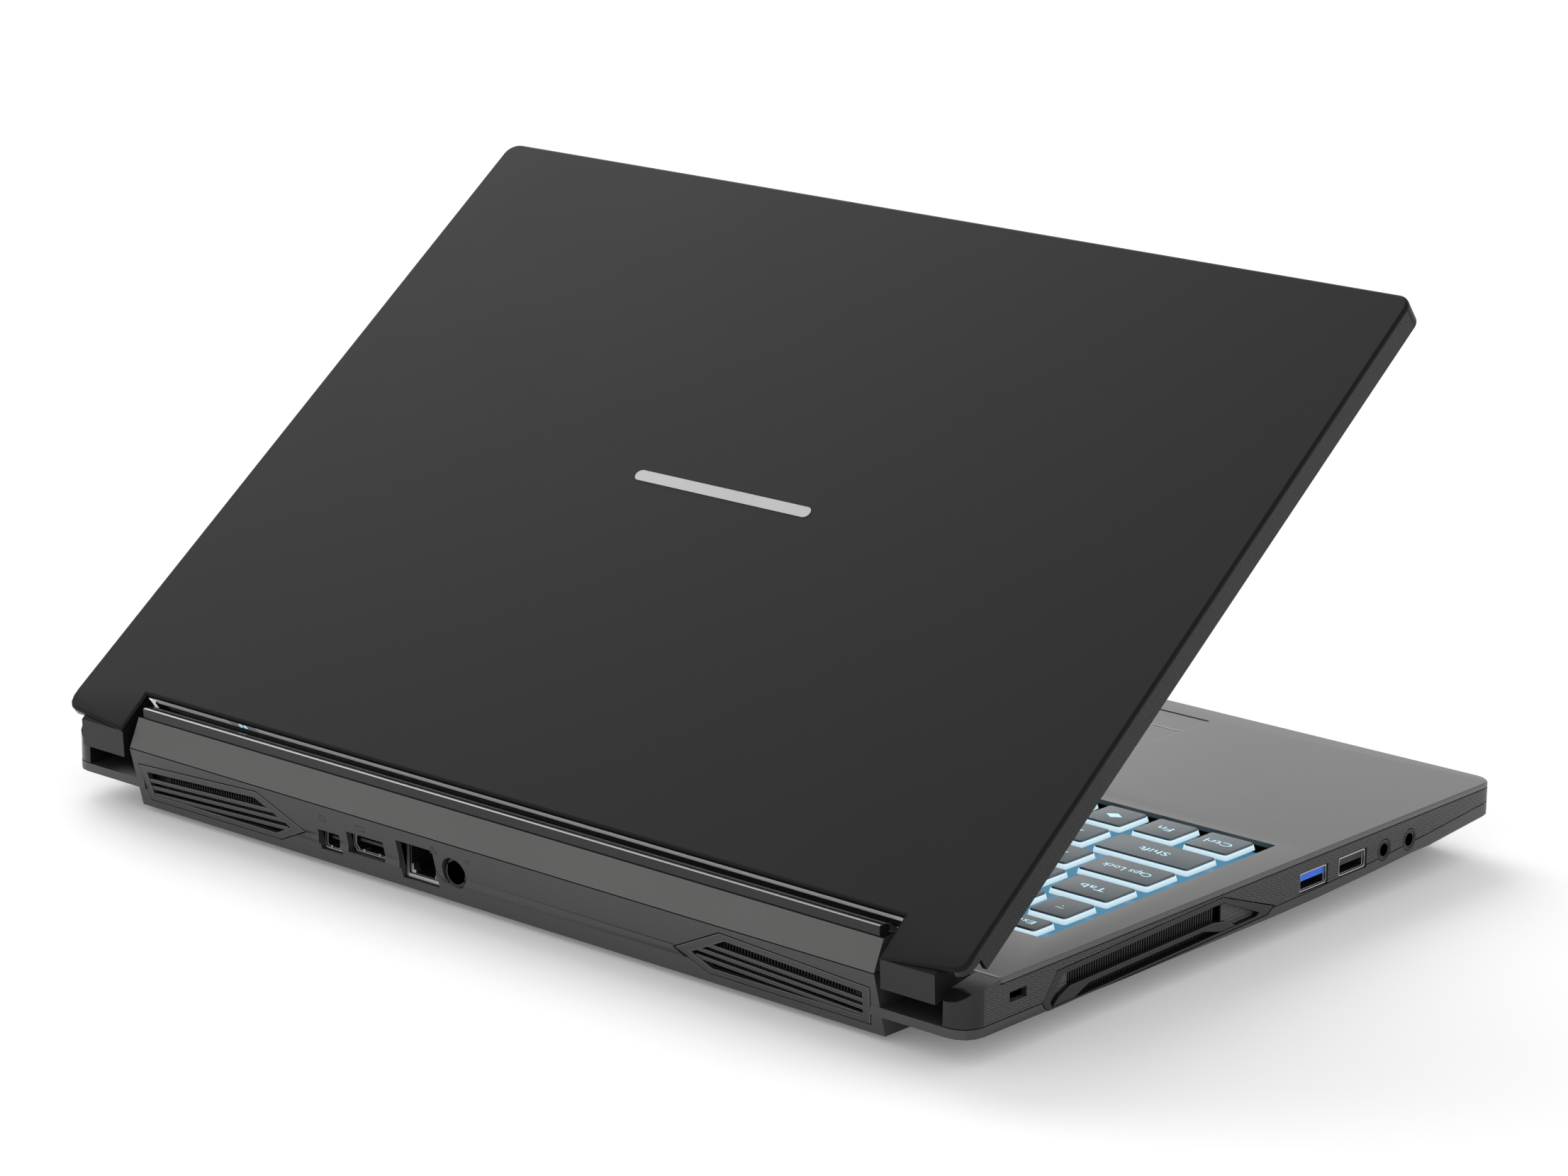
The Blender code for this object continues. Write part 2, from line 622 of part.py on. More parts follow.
def build_side_vents(cover, frame):
    rear = HINGE_Y - SIDE_VENT_BACK
    front = rear - SIDE_VENT_LENGTH
    for side, name in ((-1, "left"), (1, "right")):
        hole = bmesh.new()
        add_side_prism(hole, side_vent_outline(GAP), side, HALF - 2 * VENT_DEPTH, WIDTH)
        combine(cover, hole.copy())
        combine(frame, hole)
        bm = bmesh.new()
        add_side_prism(bm, side_vent_outline(), side, HALF - VENT_DEPTH, HALF)
        vent = add_piece("side_vent_" + name, bm, "gloss_black")
        slots = bmesh.new()
        upper = [(rear - 0.0110, 0.0138), (rear - 0.0100, 0.0168), (front + 0.0280, 0.0186),
                 (front + 0.0180, 0.0150)]
        lower = [(rear - 0.0070, 0.0095), (rear - 0.0085, 0.0120), (front + 0.0140, 0.0132),
                 (front + 0.0090, 0.0112)]
        for outline in (upper, lower):
            add_side_prism(slots, outline, side, HALF - 2 * VENT_DEPTH, WIDTH)
        combine(vent, slots)


def rear_vent_points(side, gap, y):
    outline = grown([(TAIL_HALF - inset, z) for inset, z in REAR_VENT], gap)
    return [(side * x, y, z) for x, z in outline]


def build_rear_vents(cover):
    for side, name in ((-1, "left"), (1, "right")):
        hole = bmesh.new()
        add_prism(hole, rear_vent_points(side, GAP, HINGE_Y - 0.0040), (0, 0.0200, 0))
        combine(cover, hole)
        plug = bmesh.new()
        add_prism(plug, rear_vent_points(side, 0.0, HINGE_Y - 0.0040), (0, 0.0200, 0))
        grille = add_piece("rear_vent_" + name, plug, "gloss_black")
        slab = [(y, z) for y, z in TAIL_FACE]
        slab += [(y - 0.0022, z) for y, z in reversed(TAIL_FACE)]
        keep = bmesh.new()
        ends = sorted((side * (TAIL_HALF - REAR_VENT_END / 2), side * 0.0100))
        add_bar(keep, slab, ends[0], ends[1])
        combine(grille, keep, "INTERSECT")
        slots = bmesh.new()
        for bottom, inner in ((0.0066, 0.0600), (0.0103, 0.0640), (0.0140, 0.0560)):
            edges = sorted((side * (TAIL_HALF - 0.0066), side * (TAIL_HALF - inner)))
            add_block(slots, (edges[0], HINGE_Y - 0.0100, bottom),
                      (edges[1], HINGE_Y + 0.0200, bottom + 0.0024))
        combine(grille, slots)


def add_comb(bm, low, high):
    """Cooling fins: thin plates along X's steps, joined by a plate on top."""
    outline = [(low[0], low[1], high[2]), (high[0], low[1], high[2])]
    root = high[2] - 0.0012
    x = high[0]
    while x - FIN_THICK > low[0] + FIN_PITCH:
        outline += [(x, low[1], low[2]), (x - FIN_THICK, low[1], low[2]),
                    (x - FIN_THICK, low[1], root), (x - FIN_PITCH, low[1], root)]
        x -= FIN_PITCH
    outline += [(x, low[1], low[2]), (low[0], low[1], low[2])]
    add_prism(bm, outline, (0, high[1] - low[1], 0))


def fin_limits():
    """Where a rear fin stack stands: behind its fan and ahead of the tail's grille."""
    front = HINGE_Y - FAN_AHEAD + FAN_CASE / 2 + GAP
    middle = TAIL_HALF - FAN_INSET
    return (middle - 0.0270, front, 0.0056), (middle + 0.0270, HINGE_Y - 0.0030, 0.0150)


def build_cooling(board_top):
    for side, name in ((-1, "left"), (1, "right")):
        low, high = fin_limits()
        bm = bmesh.new()
        add_comb(bm, low, high)
        if side < 0:
            bmesh.ops.transform(bm, matrix=Matrix.Scale(-1, 4, (1, 0, 0)), verts=bm.verts)
        add_piece("fin_stack_" + name, bm, "copper")
        build_fan(side * (TAIL_HALF - FAN_INSET), name)
    build_heat_pipes(board_top)


def build_fan(x, name):
    y = HINGE_Y - FAN_AHEAD
    bottom = FLOOR_Z + 0.0010
    top = FAN_TOP
    half = FAN_CASE / 2
    case = add_piece("fan_housing_" + name, new_block((x - half, y - half, bottom),
                                                      (x + half, y + half, top)), "port_black")
    bm = bmesh.new()
    floor = bottom + 0.0008
    add_drum(bm, (x, y, floor + 0.0100), FAN_RADIUS + 0.0015, 0.0200, sides=32)
    combine(case, bm)
    combine(case, new_block((x - half + 0.0060, y, floor),
                            (x + half - 0.0060, y + FAN_CASE, top - 0.0008)))
    bm = bmesh.new()
    for i in range(6):
        angle = i * math.pi / 3
        add_drum(bm, (x + 0.0150 * math.cos(angle), y + 0.0150 * math.sin(angle), bottom),
                 0.0055, 0.0100, sides=8)
    combine(case, bm)

    pivot = add_pivot("fan_axis_" + name, (x, y, 0))
    outline = []
    for i in range(BLADES):
        start = 2 * math.pi * i / BLADES
        for radius, turn in ((0.0100, 0.0), (FAN_RADIUS, 0.10), (FAN_RADIUS, 0.13), (0.0100, 0.08)):
            outline.append((radius * math.cos(start + turn), radius * math.sin(start + turn),
                            floor + 0.0006))
    bm = bmesh.new()
    add_prism(bm, outline, (0, 0, top - floor - 0.0030))
    add_piece("fan_impeller_" + name, bm, "port_black", pivot)


def build_heat_pipes(board_top):
    """A flat pipe across both fin stacks, with a cold plate for each processor."""
    low, high = fin_limits()
    under = high[2] + GAP
    bm = bmesh.new()
    width = 0.0080
    rear = HINGE_Y - 0.0118
    add_block(bm, (-high[0], rear - width, under), (high[0], rear, under + 0.0022))
    pipes = add_piece("heat_pipes", bm, "copper")
    plates = bmesh.new()
    for side in (-1, 1):
        ends = sorted((side * 0.0100, side * 0.0420))
        add_block(plates, (ends[0], HINGE_Y - 0.0700, under),
                  (ends[1], HINGE_Y - 0.0150, under + 0.0022))
    combine(pipes, plates, "UNION")
    chips = bmesh.new()
    for side in (-1, 1):
        ends = sorted((side * 0.0140, side * 0.0340))
        add_block(chips, (ends[0], HINGE_Y - 0.0640, board_top + GAP),
                  (ends[1], HINGE_Y - 0.0440, under + 0.0010))
    combine(pipes, chips, "UNION")


def build_side_socket(spec, side, cover, frame):
    name, ahead, z, length, height = spec
    y = FRONT_Y + ahead
    face = HALF - 0.0004
    depth = SIDE_SOCKET_DEPTH
    hole = bmesh.new()
    edges = sorted((side * (HALF - 0.0100), side * WIDTH))
    half = (length / 2 + GAP, height / 2 + GAP)
    add_block(hole, (edges[0], y - half[0], z - half[1]), (edges[1], y + half[0], z + half[1]))
    combine(cover, hole.copy())
    combine(frame, hole)
    edges = sorted((side * (face - depth), side * face))
    socket = add_piece(name, new_block((edges[0], y - length / 2, z - height / 2),
                                       (edges[1], y + length / 2, z + height / 2)), "steel")
    edges = sorted((side * (face - depth + 0.0010), side * WIDTH))
    room = bmesh.new()
    inner = (length / 2 - SHELL, height / 2 - SHELL)
    tongue = height * 0.12
    add_block(room, (edges[0], y - inner[0], z - inner[1]), (edges[1], y + inner[0], z + tongue))
    combine(socket, room)


def build_jack(spec, cover, frame):
    name, ahead, z = spec
    y = FRONT_Y + ahead
    depth = JACK_DEPTH
    face = HALF - 0.0002
    hole = bmesh.new()
    add_drum(hole, (-HALF, y, z), JACK_RADIUS + GAP, 0.0200, "X")
    combine(cover, hole.copy())
    combine(frame, hole)
    bm = bmesh.new()
    add_drum(bm, (-face + depth / 2, y, z), JACK_RADIUS, depth, "X")
    jack = add_piece(name, bm, "port_black")
    bore = bmesh.new()
    add_drum(bore, (-face, y, z), 0.0018, 0.0200, "X", sides=16)
    combine(jack, bore)


def build_rear_sockets(cover):
    for name, x, z, length, height in REAR_SOCKETS:
        face = tail_face_y(z - height / 2) - 0.0012
        depth = REAR_SOCKET_DEPTH
        half = (length / 2 + GAP, height / 2 + GAP)
        combine(cover, new_block((x - half[0], face - 0.0080, z - half[1]),
                                 (x + half[0], face + 0.0150, z + half[1])))
        socket = add_piece(name, new_block((x - length / 2, face - depth, z - height / 2),
                                           (x + length / 2, face, z + height / 2)), "steel")
        inner = (length / 2 - SHELL, height / 2 - SHELL)
        top = inner[1] if name == "network_socket" else height * 0.12
        combine(socket, new_block((x - inner[0], face - depth + 0.0010, z - inner[1]),
                                  (x + inner[0], face + 0.0100, z + top)))
    x, z, radius = POWER_INLET
    face = tail_face_y(z) - 0.0010
    hole = bmesh.new()
    add_drum(hole, (x, HINGE_Y, z), radius + GAP, 0.0300, "Y")
    combine(cover, hole)
    bm = bmesh.new()
    depth = JACK_DEPTH
    add_drum(bm, (x, face - depth / 2, z), radius, depth, "Y")
    inlet = add_piece("power_inlet", bm, "port_black")
    bore = bmesh.new()
    reach = depth - 0.0010
    add_drum(bore, (x, face - reach / 2 + 0.0005, z), radius - 0.0013, reach + 0.0010, "Y")
    combine(inlet, bore)
    pin = bmesh.new()
    add_drum(pin, (x, face - depth + 0.0045, z), 0.0010, 0.0080, "Y", sides=12)
    combine(inlet, pin, "UNION")


def cut_lock_slot(frame):
    y = FRONT_Y + 0.2330
    combine(frame, new_block((-HALF - 0.0010, y - LOCK_LENGTH / 2, LOCK_Z),
                             (-HALF + 0.0100, y + LOCK_LENGTH / 2, LOCK_Z + LOCK_HEIGHT)))


def build_hinges():
    for side, name in ((-1, "left"), (1, "right")):
        start, end = TAIL_HALF - HOOD_WALL - BARREL_LENGTH, TAIL_HALF - HOOD_WALL - 2 * GAP
        middle = side * (start + end) / 2
        length = end - start
        bm = bmesh.new()
        add_drum(bm, (middle, HINGE_Y, HINGE_Z), BARREL_RADIUS, length, "X")
        bracket = add_piece("hinge_bracket_" + name, bm, "steel")
        edges = sorted((side * start, side * end))
        leg = bmesh.new()
        back = HINGE_Y - 0.0004
        foot = BELLY_Z + 0.0065
        add_block(leg, (edges[0], back - BRACKET_THICK, foot), (edges[1], back, HINGE_Z))
        combine(bracket, leg, "UNION")
        combine(bracket, new_block((edges[0], POCKET_Y, foot),
                                   (edges[1], back, foot + BRACKET_THICK)), "UNION")
        bore = bmesh.new()
        add_drum(bore, (middle, HINGE_Y, HINGE_Z), PIN_RADIUS + RUN_GAP, 2 * length, "X")
        combine(bracket, bore)


def build_lid_hinges(pivot):
    """In the lid's own frame: the axis is the origin, and the closed lid reaches along -Y."""
    for side, name in ((-1, "left"), (1, "right")):
        start = TAIL_HALF - HOOD_WALL - 0.0100
        end = EAR_IN + LID_WALL + 0.0020
        bm = bmesh.new()
        add_drum(bm, (side * (start + end) / 2, 0, 0), PIN_RADIUS, end - start, "X")
        hinge = add_piece("hinge_arm_" + name, bm, "steel", pivot)
        edges = sorted((side * (EAR_IN + LID_WALL + GAP), side * (EAR_IN + EAR_WIDTH - 0.0020)))
        top = LID_TOP - LID_SKIN - GAP
        combine(hinge, new_block((edges[0], -0.0018, -0.0016), (edges[1], 0.0018, top)), "UNION")
        combine(hinge, new_block((edges[0], -0.0600, top - 0.0012), (edges[1], 0.0, top)),
                "UNION")


def lid_outline(inset):
    """Right half of the lid's outline, front to rear, with the ear's swept rear edge."""
    half = HALF - inset
    front = -LID_LENGTH + inset
    radius = LID_RADIUS - inset / 2
    points = arc((half - radius, front + radius), radius, -90, 0, 4)
    points += [(half, -0.0020), (half - 0.0010, EAR_TIP_BEHIND * 0.55 - inset),
               (half - 0.0040, EAR_TIP_BEHIND - inset), (EAR_IN, EAR_BEHIND - inset)]
    return points


def build_lid_cover(pivot):
    bm = bmesh.new()
    add_slab(bm, [level_points(lid_outline(0), LID_RIM), level_points(lid_outline(0), LID_EDGE),
                  level_points(lid_outline(LID_CHAMFER), LID_TOP)])
    cover = add_piece("lid_cover", bm, "lid_black", pivot)

    ear = [(EAR_BEHIND, LID_EDGE), (0.0093, -0.00235), (0.0060, -0.0034), (-0.0040, -0.0034),
           (-NOTCH_AHEAD, LID_RIM), (-NOTCH_AHEAD, LID_EDGE)]
    bm = bmesh.new()
    mirror_bars(bm, ear, EAR_IN, EAR_IN + EAR_WIDTH)
    combine(cover, bm, "UNION")

    notch = EAR_IN - 0.0004
    combine(cover, new_block((-notch, -NOTCH_AHEAD, -0.0200), (notch, 0.0200, 0.0200)))
    bm = bmesh.new()
    mirror_blocks(bm, (EAR_IN + EAR_WIDTH + 0.0001, -0.0050, -0.0200),
                  (WIDTH, 0.0200, LID_TOP - LIP_THICK))
    combine(cover, bm)

    ceiling = LID_TOP - LID_SKIN
    rear = -NOTCH_AHEAD - LID_REAR_WALL
    inner = HALF - LID_WALL
    front = -LID_LENGTH + LID_WALL
    radius = LID_RADIUS - LID_WALL / 2
    outline = arc((inner - radius, front + radius), radius, -90, 0, 4) + [(inner, rear)]
    bm = bmesh.new()
    add_slab(bm, [level_points(outline, -0.0200), level_points(outline, ceiling)])
    combine(cover, bm)
    combine(cover, new_block((-notch, rear - 0.0010, -0.0200), (notch, 0.0, ceiling)))

    ear_low = EAR_IN + LID_WALL
    ear_high = EAR_IN + EAR_WIDTH - 0.0015
    bm = bmesh.new()
    mirror_blocks(bm, (ear_low, -0.0045, -0.0022), (ear_high, 0.0036, ceiling))
    combine(cover, bm)
    bm = bmesh.new()
    mirror_blocks(bm, (ear_low, rear - 0.0010, -0.0002), (ear_high, -0.0040, ceiling))
    combine(cover, bm)
    bm = bmesh.new()
    add_drum(bm, (0, 0, 0), PIN_RADIUS + GAP, 2 * ear_low + 0.0010, "X")
    combine(cover, bm)


def build_bezel(pivot):
    outer = LID_WALL + GAP
    half = HALF - outer
    front = -LID_LENGTH + outer
    radius = LID_RADIUS - outer / 2
    rear = -NOTCH_AHEAD - LID_REAR_WALL - GAP
    top = BEZEL_FACE + BEZEL_THICK
    outline = arc((half - radius, front + radius), radius, -90, 0, 4) + [(half, rear)]
    bm = bmesh.new()
    add_slab(bm, [level_points(outline, BEZEL_FACE), level_points(outline, top)])
    bezel = add_piece("display_bezel", bm, "case_black", pivot)
    chin = EAR_IN - 0.0010
    edge = -NOTCH_AHEAD - TRIM_SETBACK
    combine(bezel, new_block((-chin, rear - 0.0050, BEZEL_FACE), (chin, edge, top)), "UNION")
    combine(bezel, new_block((-chin, edge - 0.0012, BEZEL_FACE), (chin, edge, 0.0025)), "UNION")
    half = SCREEN_WIDTH / 2
    reach = SCREEN_HEIGHT / 2
    combine(bezel, new_block((-half, -SCREEN_MIDDLE - reach, -0.0200),
                             (half, -SCREEN_MIDDLE + reach, 0.0200)))
    bm = bmesh.new()
    add_drum(bm, (0, camera_y(), 0), 0.0022, 0.0200)
    combine(bezel, bm)


def camera_y():
    """Middle of the strip between the screen panel and the lid's front wall."""
    return -(LID_LENGTH - LID_WALL + SCREEN_MIDDLE + SCREEN_HEIGHT / 2 + PANEL_BORDER) / 2


def build_screen(pivot):
    half = SCREEN_WIDTH / 2 + PANEL_BORDER
    reach = SCREEN_HEIGHT / 2
    under = BEZEL_FACE + BEZEL_THICK + GAP
    add_piece("screen_panel", new_block((-half, -SCREEN_MIDDLE - reach - PANEL_BORDER, under),
                                        (half, -SCREEN_MIDDLE + reach + 0.0090,
                                         under + PANEL_THICK)), "screen", pivot)
    bm = bmesh.new()
    y = camera_y()
    add_block(bm, (-0.0130, y - 0.0020, under), (0.0130, y + 0.0020, under + 0.0022))
    camera = add_piece("camera_module", bm, "port_black", pivot)
    lens = bmesh.new()
    add_drum(lens, (0, y, (BEZEL_FACE + GAP + under) / 2 + 0.0002), 0.0018,
             under - BEZEL_FACE, sides=16)
    combine(camera, lens, "UNION")


def build_lid_trim(pivot):
    """The bright strip along the lid's rear edge and the status window let into it."""
    reach = EAR_IN - TRIM_END_GAP
    face = -NOTCH_AHEAD - TRIM_SETBACK
    low, high = TRIM_LOW, LID_TOP - LID_SKIN - GAP
    back = face - TRIM_DEPTH
    trim = add_piece("lid_trim", new_block((-reach, back, low), (reach, face, high)),
                     "trim_silver", pivot)
    left = reach - STATUS_INSET - STATUS_WIDTH
    right = left + STATUS_WIDTH
    seat = face - TRIM_DEPTH / 2
    combine(trim, new_block((left - GAP, seat, 0), (right + GAP, 0, LID_TOP)))
    add_piece("status_window", new_block((left, seat + GAP, low), (right, face, high)),
              "light_blue", pivot)


def build_mainboard():
    """Board under the keyboard, cut back round the fans, and what is plugged into it."""
    under = BOARD_Z
    top = under + BOARD_THICK
    fan_front = HINGE_Y - FAN_AHEAD - FAN_CASE / 2 - 0.0020
    inner = TAIL_HALF - FAN_INSET - FAN_CASE / 2 - 0.0020
    rear = HINGE_Y - 0.0155
    wide = HALF - 0.0060
    front = FRONT_Y + 0.0400
    outline = [(wide, front), (wide, fan_front), (inner, fan_front), (inner, rear),
               (-inner, rear), (-inner, fan_front), (-wide, fan_front), (-wide, front)]
    bm = bmesh.new()
    add_prism(bm, [(x, y, under) for x, y in outline], (0, 0, top - under))
    add_piece("mainboard", bm, "board_green")
    y = HINGE_Y - 0.0300
    add_piece("memory_module", new_block((-0.0340, y - 0.0300, under - 0.0040),
                                         (0.0340, y, under - 0.0010)), "board_green")
    y = fan_front - 0.0300
    add_piece("storage_drive", new_block((0.0500, y, under - 0.0038), (0.1300, y + 0.0220,
                                                                       under - 0.0010)),
              "board_green")
    return top


def build_battery():
    low_y = FRONT_Y + BELLY_FRONT_INSET + CASE_WALL + 0.0040
    bm = bmesh.new()
    half = 0.1150
    add_block(bm, (-half, low_y, FLOOR_Z + GAP), (half, low_y + 0.0700, 0.0100))
    pack = add_piece("battery_pack", bm, "pack_black")
    grooves = bmesh.new()
    for x in (-0.0575, 0.0, 0.0575):
        add_block(grooves, (x - 0.0005, 0 - BODY_DEPTH, 0.0094), (x + 0.0005, BODY_DEPTH, 0.0200))
    combine(pack, grooves)


def build_speakers():
    for side, name in ((-1, "left"), (1, "right")):
        x = side * (HALF - SPEAKER_INSET)
        y = FRONT_Y + 0.0240
        low = (x - 0.0150, y - 0.0100, FLOOR_Z + GAP)
        add_piece("speaker_" + name, new_block(low, (x + 0.0150, y + 0.0100, 0.0098)),
                  "port_black")


def build_feet():
    for name, x, y, length in FOOT_BARS:
        low = (x - length / 2, y - FOOT_WIDTH / 2, 0)
        high = (x + length / 2, y + FOOT_WIDTH / 2, BELLY_Z - GAP)
        foot = add_piece(name, new_block(low, high), "rubber")
        round_off = foot.modifiers.new("Bevel", "BEVEL")
        round_off.width = 0.0006
        round_off.segments = 1


def screw_places():
    wide = HALF - BELLY_SIDE_INSET - 0.0100
    rows = (("front", FRONT_Y + 0.0330), ("rear", HINGE_Y - 0.0300))
    return [(row + "_" + side, wide * sign, y) for row, y in rows
            for side, sign in (("left", -1), ("right", 1))]


def build_screws(cover):
    holes = bmesh.new()
    for name, x, y in screw_places():
        add_drum(holes, (x, y, BELLY_Z), SCREW_RADIUS + GAP, 0.0060, sides=10)
        bm = bmesh.new()
        add_drum(bm, (x, y, BELLY_Z + 0.0008), SCREW_RADIUS, 0.0010, sides=10)
        add_piece("bottom_screw_" + name, bm, "steel")
    combine(cover, holes)


def cut_intakes(cover):
    """Slots under each fan and under each speaker."""
    bm = bmesh.new()
    for side in (-1, 1):
        x = side * (TAIL_HALF - FAN_INSET)
        for row in range(6):
            y = HINGE_Y - FAN_AHEAD + (row - 2.2) * 0.0055
            add_block(bm, (x - 0.0210, y, 0), (x + 0.0210, y + 0.0026, FLOOR_Z + 0.0005))
        x = side * (HALF - SPEAKER_INSET)
        for row in range(3):
            y = FRONT_Y + 0.0255 + row * 0.0032
            add_block(bm, (x - 0.0120, y, 0), (x + 0.0120, y + 0.0014, FLOOR_Z + 0.0005))
    combine(cover, bm)


def main():
    cover = build_bottom_cover()
    frame = build_side_frame()
    deck = build_deck_panel()
    cut_deck(deck)
    cut_intakes(cover)
    build_side_vents(cover, frame)
    build_rear_vents(cover)
    for spec in SIDE_SOCKETS:
        build_side_socket(spec, -1, cover, frame)
    for spec in RIGHT_SOCKETS:
        build_side_socket(spec, 1, cover, frame)
    for spec in JACKS:
        build_jack(spec, cover, frame)
    build_rear_sockets(cover)
    cut_lock_slot(frame)
    build_screws(cover)
    build_feet()
    build_keyboard_base()
    build_key_rows()
    build_touchpad()
    build_power_button()
    board_top = build_mainboard()
    build_cooling(board_top)
    build_battery()
    build_speakers()
    build_hinges()
    pivot = add_pivot("lid_axis", (0, HINGE_Y, HINGE_Z), -OPEN_ANGLE)
    build_lid_cover(pivot)
    build_bezel(pivot)
    build_screen(pivot)
    build_lid_trim(pivot)
    build_lid_hinges(pivot)


clear_scene()
PIECES = make_collection("laptop_computer")
CUTTERS = make_collection("cutters")
main()
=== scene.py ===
import json
import math

import bmesh
import bpy
from bpy.props import FloatProperty, FloatVectorProperty, PointerProperty
from mathutils import Matrix, Vector


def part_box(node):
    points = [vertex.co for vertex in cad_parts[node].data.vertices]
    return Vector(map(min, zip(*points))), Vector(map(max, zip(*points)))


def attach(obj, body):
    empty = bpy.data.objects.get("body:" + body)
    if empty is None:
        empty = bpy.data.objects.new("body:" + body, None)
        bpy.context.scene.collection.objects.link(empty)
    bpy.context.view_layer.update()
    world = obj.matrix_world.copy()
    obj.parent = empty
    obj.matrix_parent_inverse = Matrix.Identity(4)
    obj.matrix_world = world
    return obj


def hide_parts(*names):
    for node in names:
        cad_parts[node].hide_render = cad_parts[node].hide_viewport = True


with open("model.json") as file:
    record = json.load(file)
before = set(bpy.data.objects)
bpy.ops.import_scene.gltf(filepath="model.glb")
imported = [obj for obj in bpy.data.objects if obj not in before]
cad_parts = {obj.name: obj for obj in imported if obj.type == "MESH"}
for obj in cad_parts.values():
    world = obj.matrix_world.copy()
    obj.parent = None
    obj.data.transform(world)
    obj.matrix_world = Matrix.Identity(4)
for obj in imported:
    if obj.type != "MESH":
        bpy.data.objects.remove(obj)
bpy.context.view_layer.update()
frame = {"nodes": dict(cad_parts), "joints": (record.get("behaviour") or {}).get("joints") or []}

bl_info = {
    "name": "Laptop Computer Finishes",
    "version": (1, 0, 0),
    "blender": (4, 5, 0),
    "location": "3D View > Sidebar > Laptop",
    "description": "Shells, keycaps, vents, sockets and finishes of a half-open laptop computer",
    "category": "Object",
}

# Places read from the frame
LID_HINGE = next(joint for joint in frame["joints"] if joint["name"] == "lid_hinge")
HINGE_Y, HINGE_Z = LID_HINGE["pos_m"][1:]
OPEN_ANGLE = -math.radians(LID_HINGE["range_deg"][0])
LID_PLACE = Matrix.Translation((0, HINGE_Y, HINGE_Z)) @ Matrix.Rotation(-OPEN_ANGLE, 4, "X")
CASE_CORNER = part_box("side_frame")[1]
HALF = CASE_CORNER.x
DECK_Z = CASE_CORNER.z
TAIL_HALF = 0.1502            # half the width of the tail block

# Lid, in its own frame: the axis is the origin and the closed lid reaches along -Y
LID_LENGTH = 0.2495
LID_TOP = 0.00677
LID_RIM = -0.0012
LID_SKIN = 0.00157
LID_WALL = 0.0016
LID_RADIUS = 0.0050
NOTCH_AHEAD = 0.00935
EAR_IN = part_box("lid_trim")[1].x + 0.0030
EAR_WIDTH = 0.0190
EAR_BEHIND = 0.00467
EAR_TIP = 0.00216
EAR_FALL = 0.0011             # how far the ear's facet falls from the crease to the rear
CREASE_END = -0.0045          # where the crease meets the lid's side
LIP_THICK = 0.0036
LIP_LENGTH = 0.0050
CORNER_AHEAD = 0.0085         # the case's rear corners start this far ahead of the axis
SPINE_RADIUS = 0.0084
MARK_AHEAD = 0.1300
MARK_LENGTH = 0.0700
MARK_HEIGHT = 0.0040

# Tail's rear face as (y, z), from the joint with the hood down to the belly
TAIL_FACE = ((HINGE_Y + 0.0059, 0.0212), (HINGE_Y + 0.0030, 0.0104), (HINGE_Y + 0.0008, 0.0020))
TAIL_CREASE_Z = TAIL_FACE[1][1]

# Strip in the lid's rear edge
TRIM_LOW = 0.0028
TRIM_THICK = 0.0012
TRIM_SLANT = 0.0014
TRIM_SHIFT = 0.00012          # points right of the middle stand this much further left

# Small generic icons pressed into the tail, as (x, z) of their middles
ICON_SCREEN = (0.0655, 0.0171)
ICON_PICTURE = (0.0493, 0.0174)
ICON_NETWORK = (0.0188, 0.0178)
ICON_POWER = (0.0047, 0.0175)

# Rear vent as (distance from the tail's end, height): frame and opening
REAR_FRAME = ((0.0027, 0.0164), (0.0565, 0.0193), (0.0751, 0.0103), (0.0633, 0.0051),
              (0.0046, 0.0048))
REAR_OPENING = ((0.0056, 0.0144), (0.0550, 0.0171), (0.0690, 0.0103), (0.0618, 0.0068),
                (0.0068, 0.0066))
# Its bars as (height at the outer end, distance at which the bar ends)
REAR_BARS = ((0.0121, 0.0640), (0.0097, 0.0675), (0.0072, 0.0675))
BAR_OVERLAP = 0.0012          # how far a bar runs under the frame
BAR_RISE = 0.045              # how much the bars climb towards the middle
BAR_HEIGHT = 0.0013

# Cooling fins: rear ones by distance from the tail's end, side ones by y
FIN_THICK = 0.00035
FIN_TOP = 0.0178
REAR_FINS = (0.0048, 0.0700)
SIDE_FINS = (0.0120, 0.0790)

# Side vent as (y, z): frame, opening, and the rib across it
SIDE_FRAME_LINE = ((0.0865, 0.0186), (0.0927, 0.0107), (0.0904, 0.0080), (-0.0115, 0.0098),
                   (-0.0145, 0.0116), (0.0105, 0.0204))
SIDE_OPENING = ((0.0836, 0.0170), (0.0892, 0.0106), (0.0884, 0.0086), (-0.0060, 0.0105),
                (-0.0075, 0.0114), (0.0098, 0.0187))
SIDE_RIB = ((0.0800, 0.0128), (0.0140, 0.0137), (0.0082, 0.0126), (0.0030, 0.0101),
            (0.0105, 0.0100), (0.0190, 0.0122), (0.0720, 0.0112), (0.0785, 0.0084),
            (0.0880, 0.0084), (0.0850, 0.0110))
SIDE_MESH = ((-0.0075, 0.0090), (0.0800, 0.0890))

# Sockets: (width, height), the steel's thickness and the pitches of the contacts
USB_MOUTH = (0.0134, 0.0056)
NETWORK_MOUTH = (0.0146, 0.0117)
SHELL_STEEL = 0.00035
USB_CONTACT_PITCH = 0.0024
NETWORK_CONTACT_PITCH = 0.00102

# Turns from a socket made facing +Z to the side that it is on
FACINGS = {"rear": Matrix(((-1, 0, 0), (0, 0, 1), (0, 1, 0))),
           "left": Matrix(((0, 0, -1), (-1, 0, 0), (0, 1, 0))),
           "right": Matrix(((0, 0, 1), (1, 0, 0), (0, 1, 0)))}

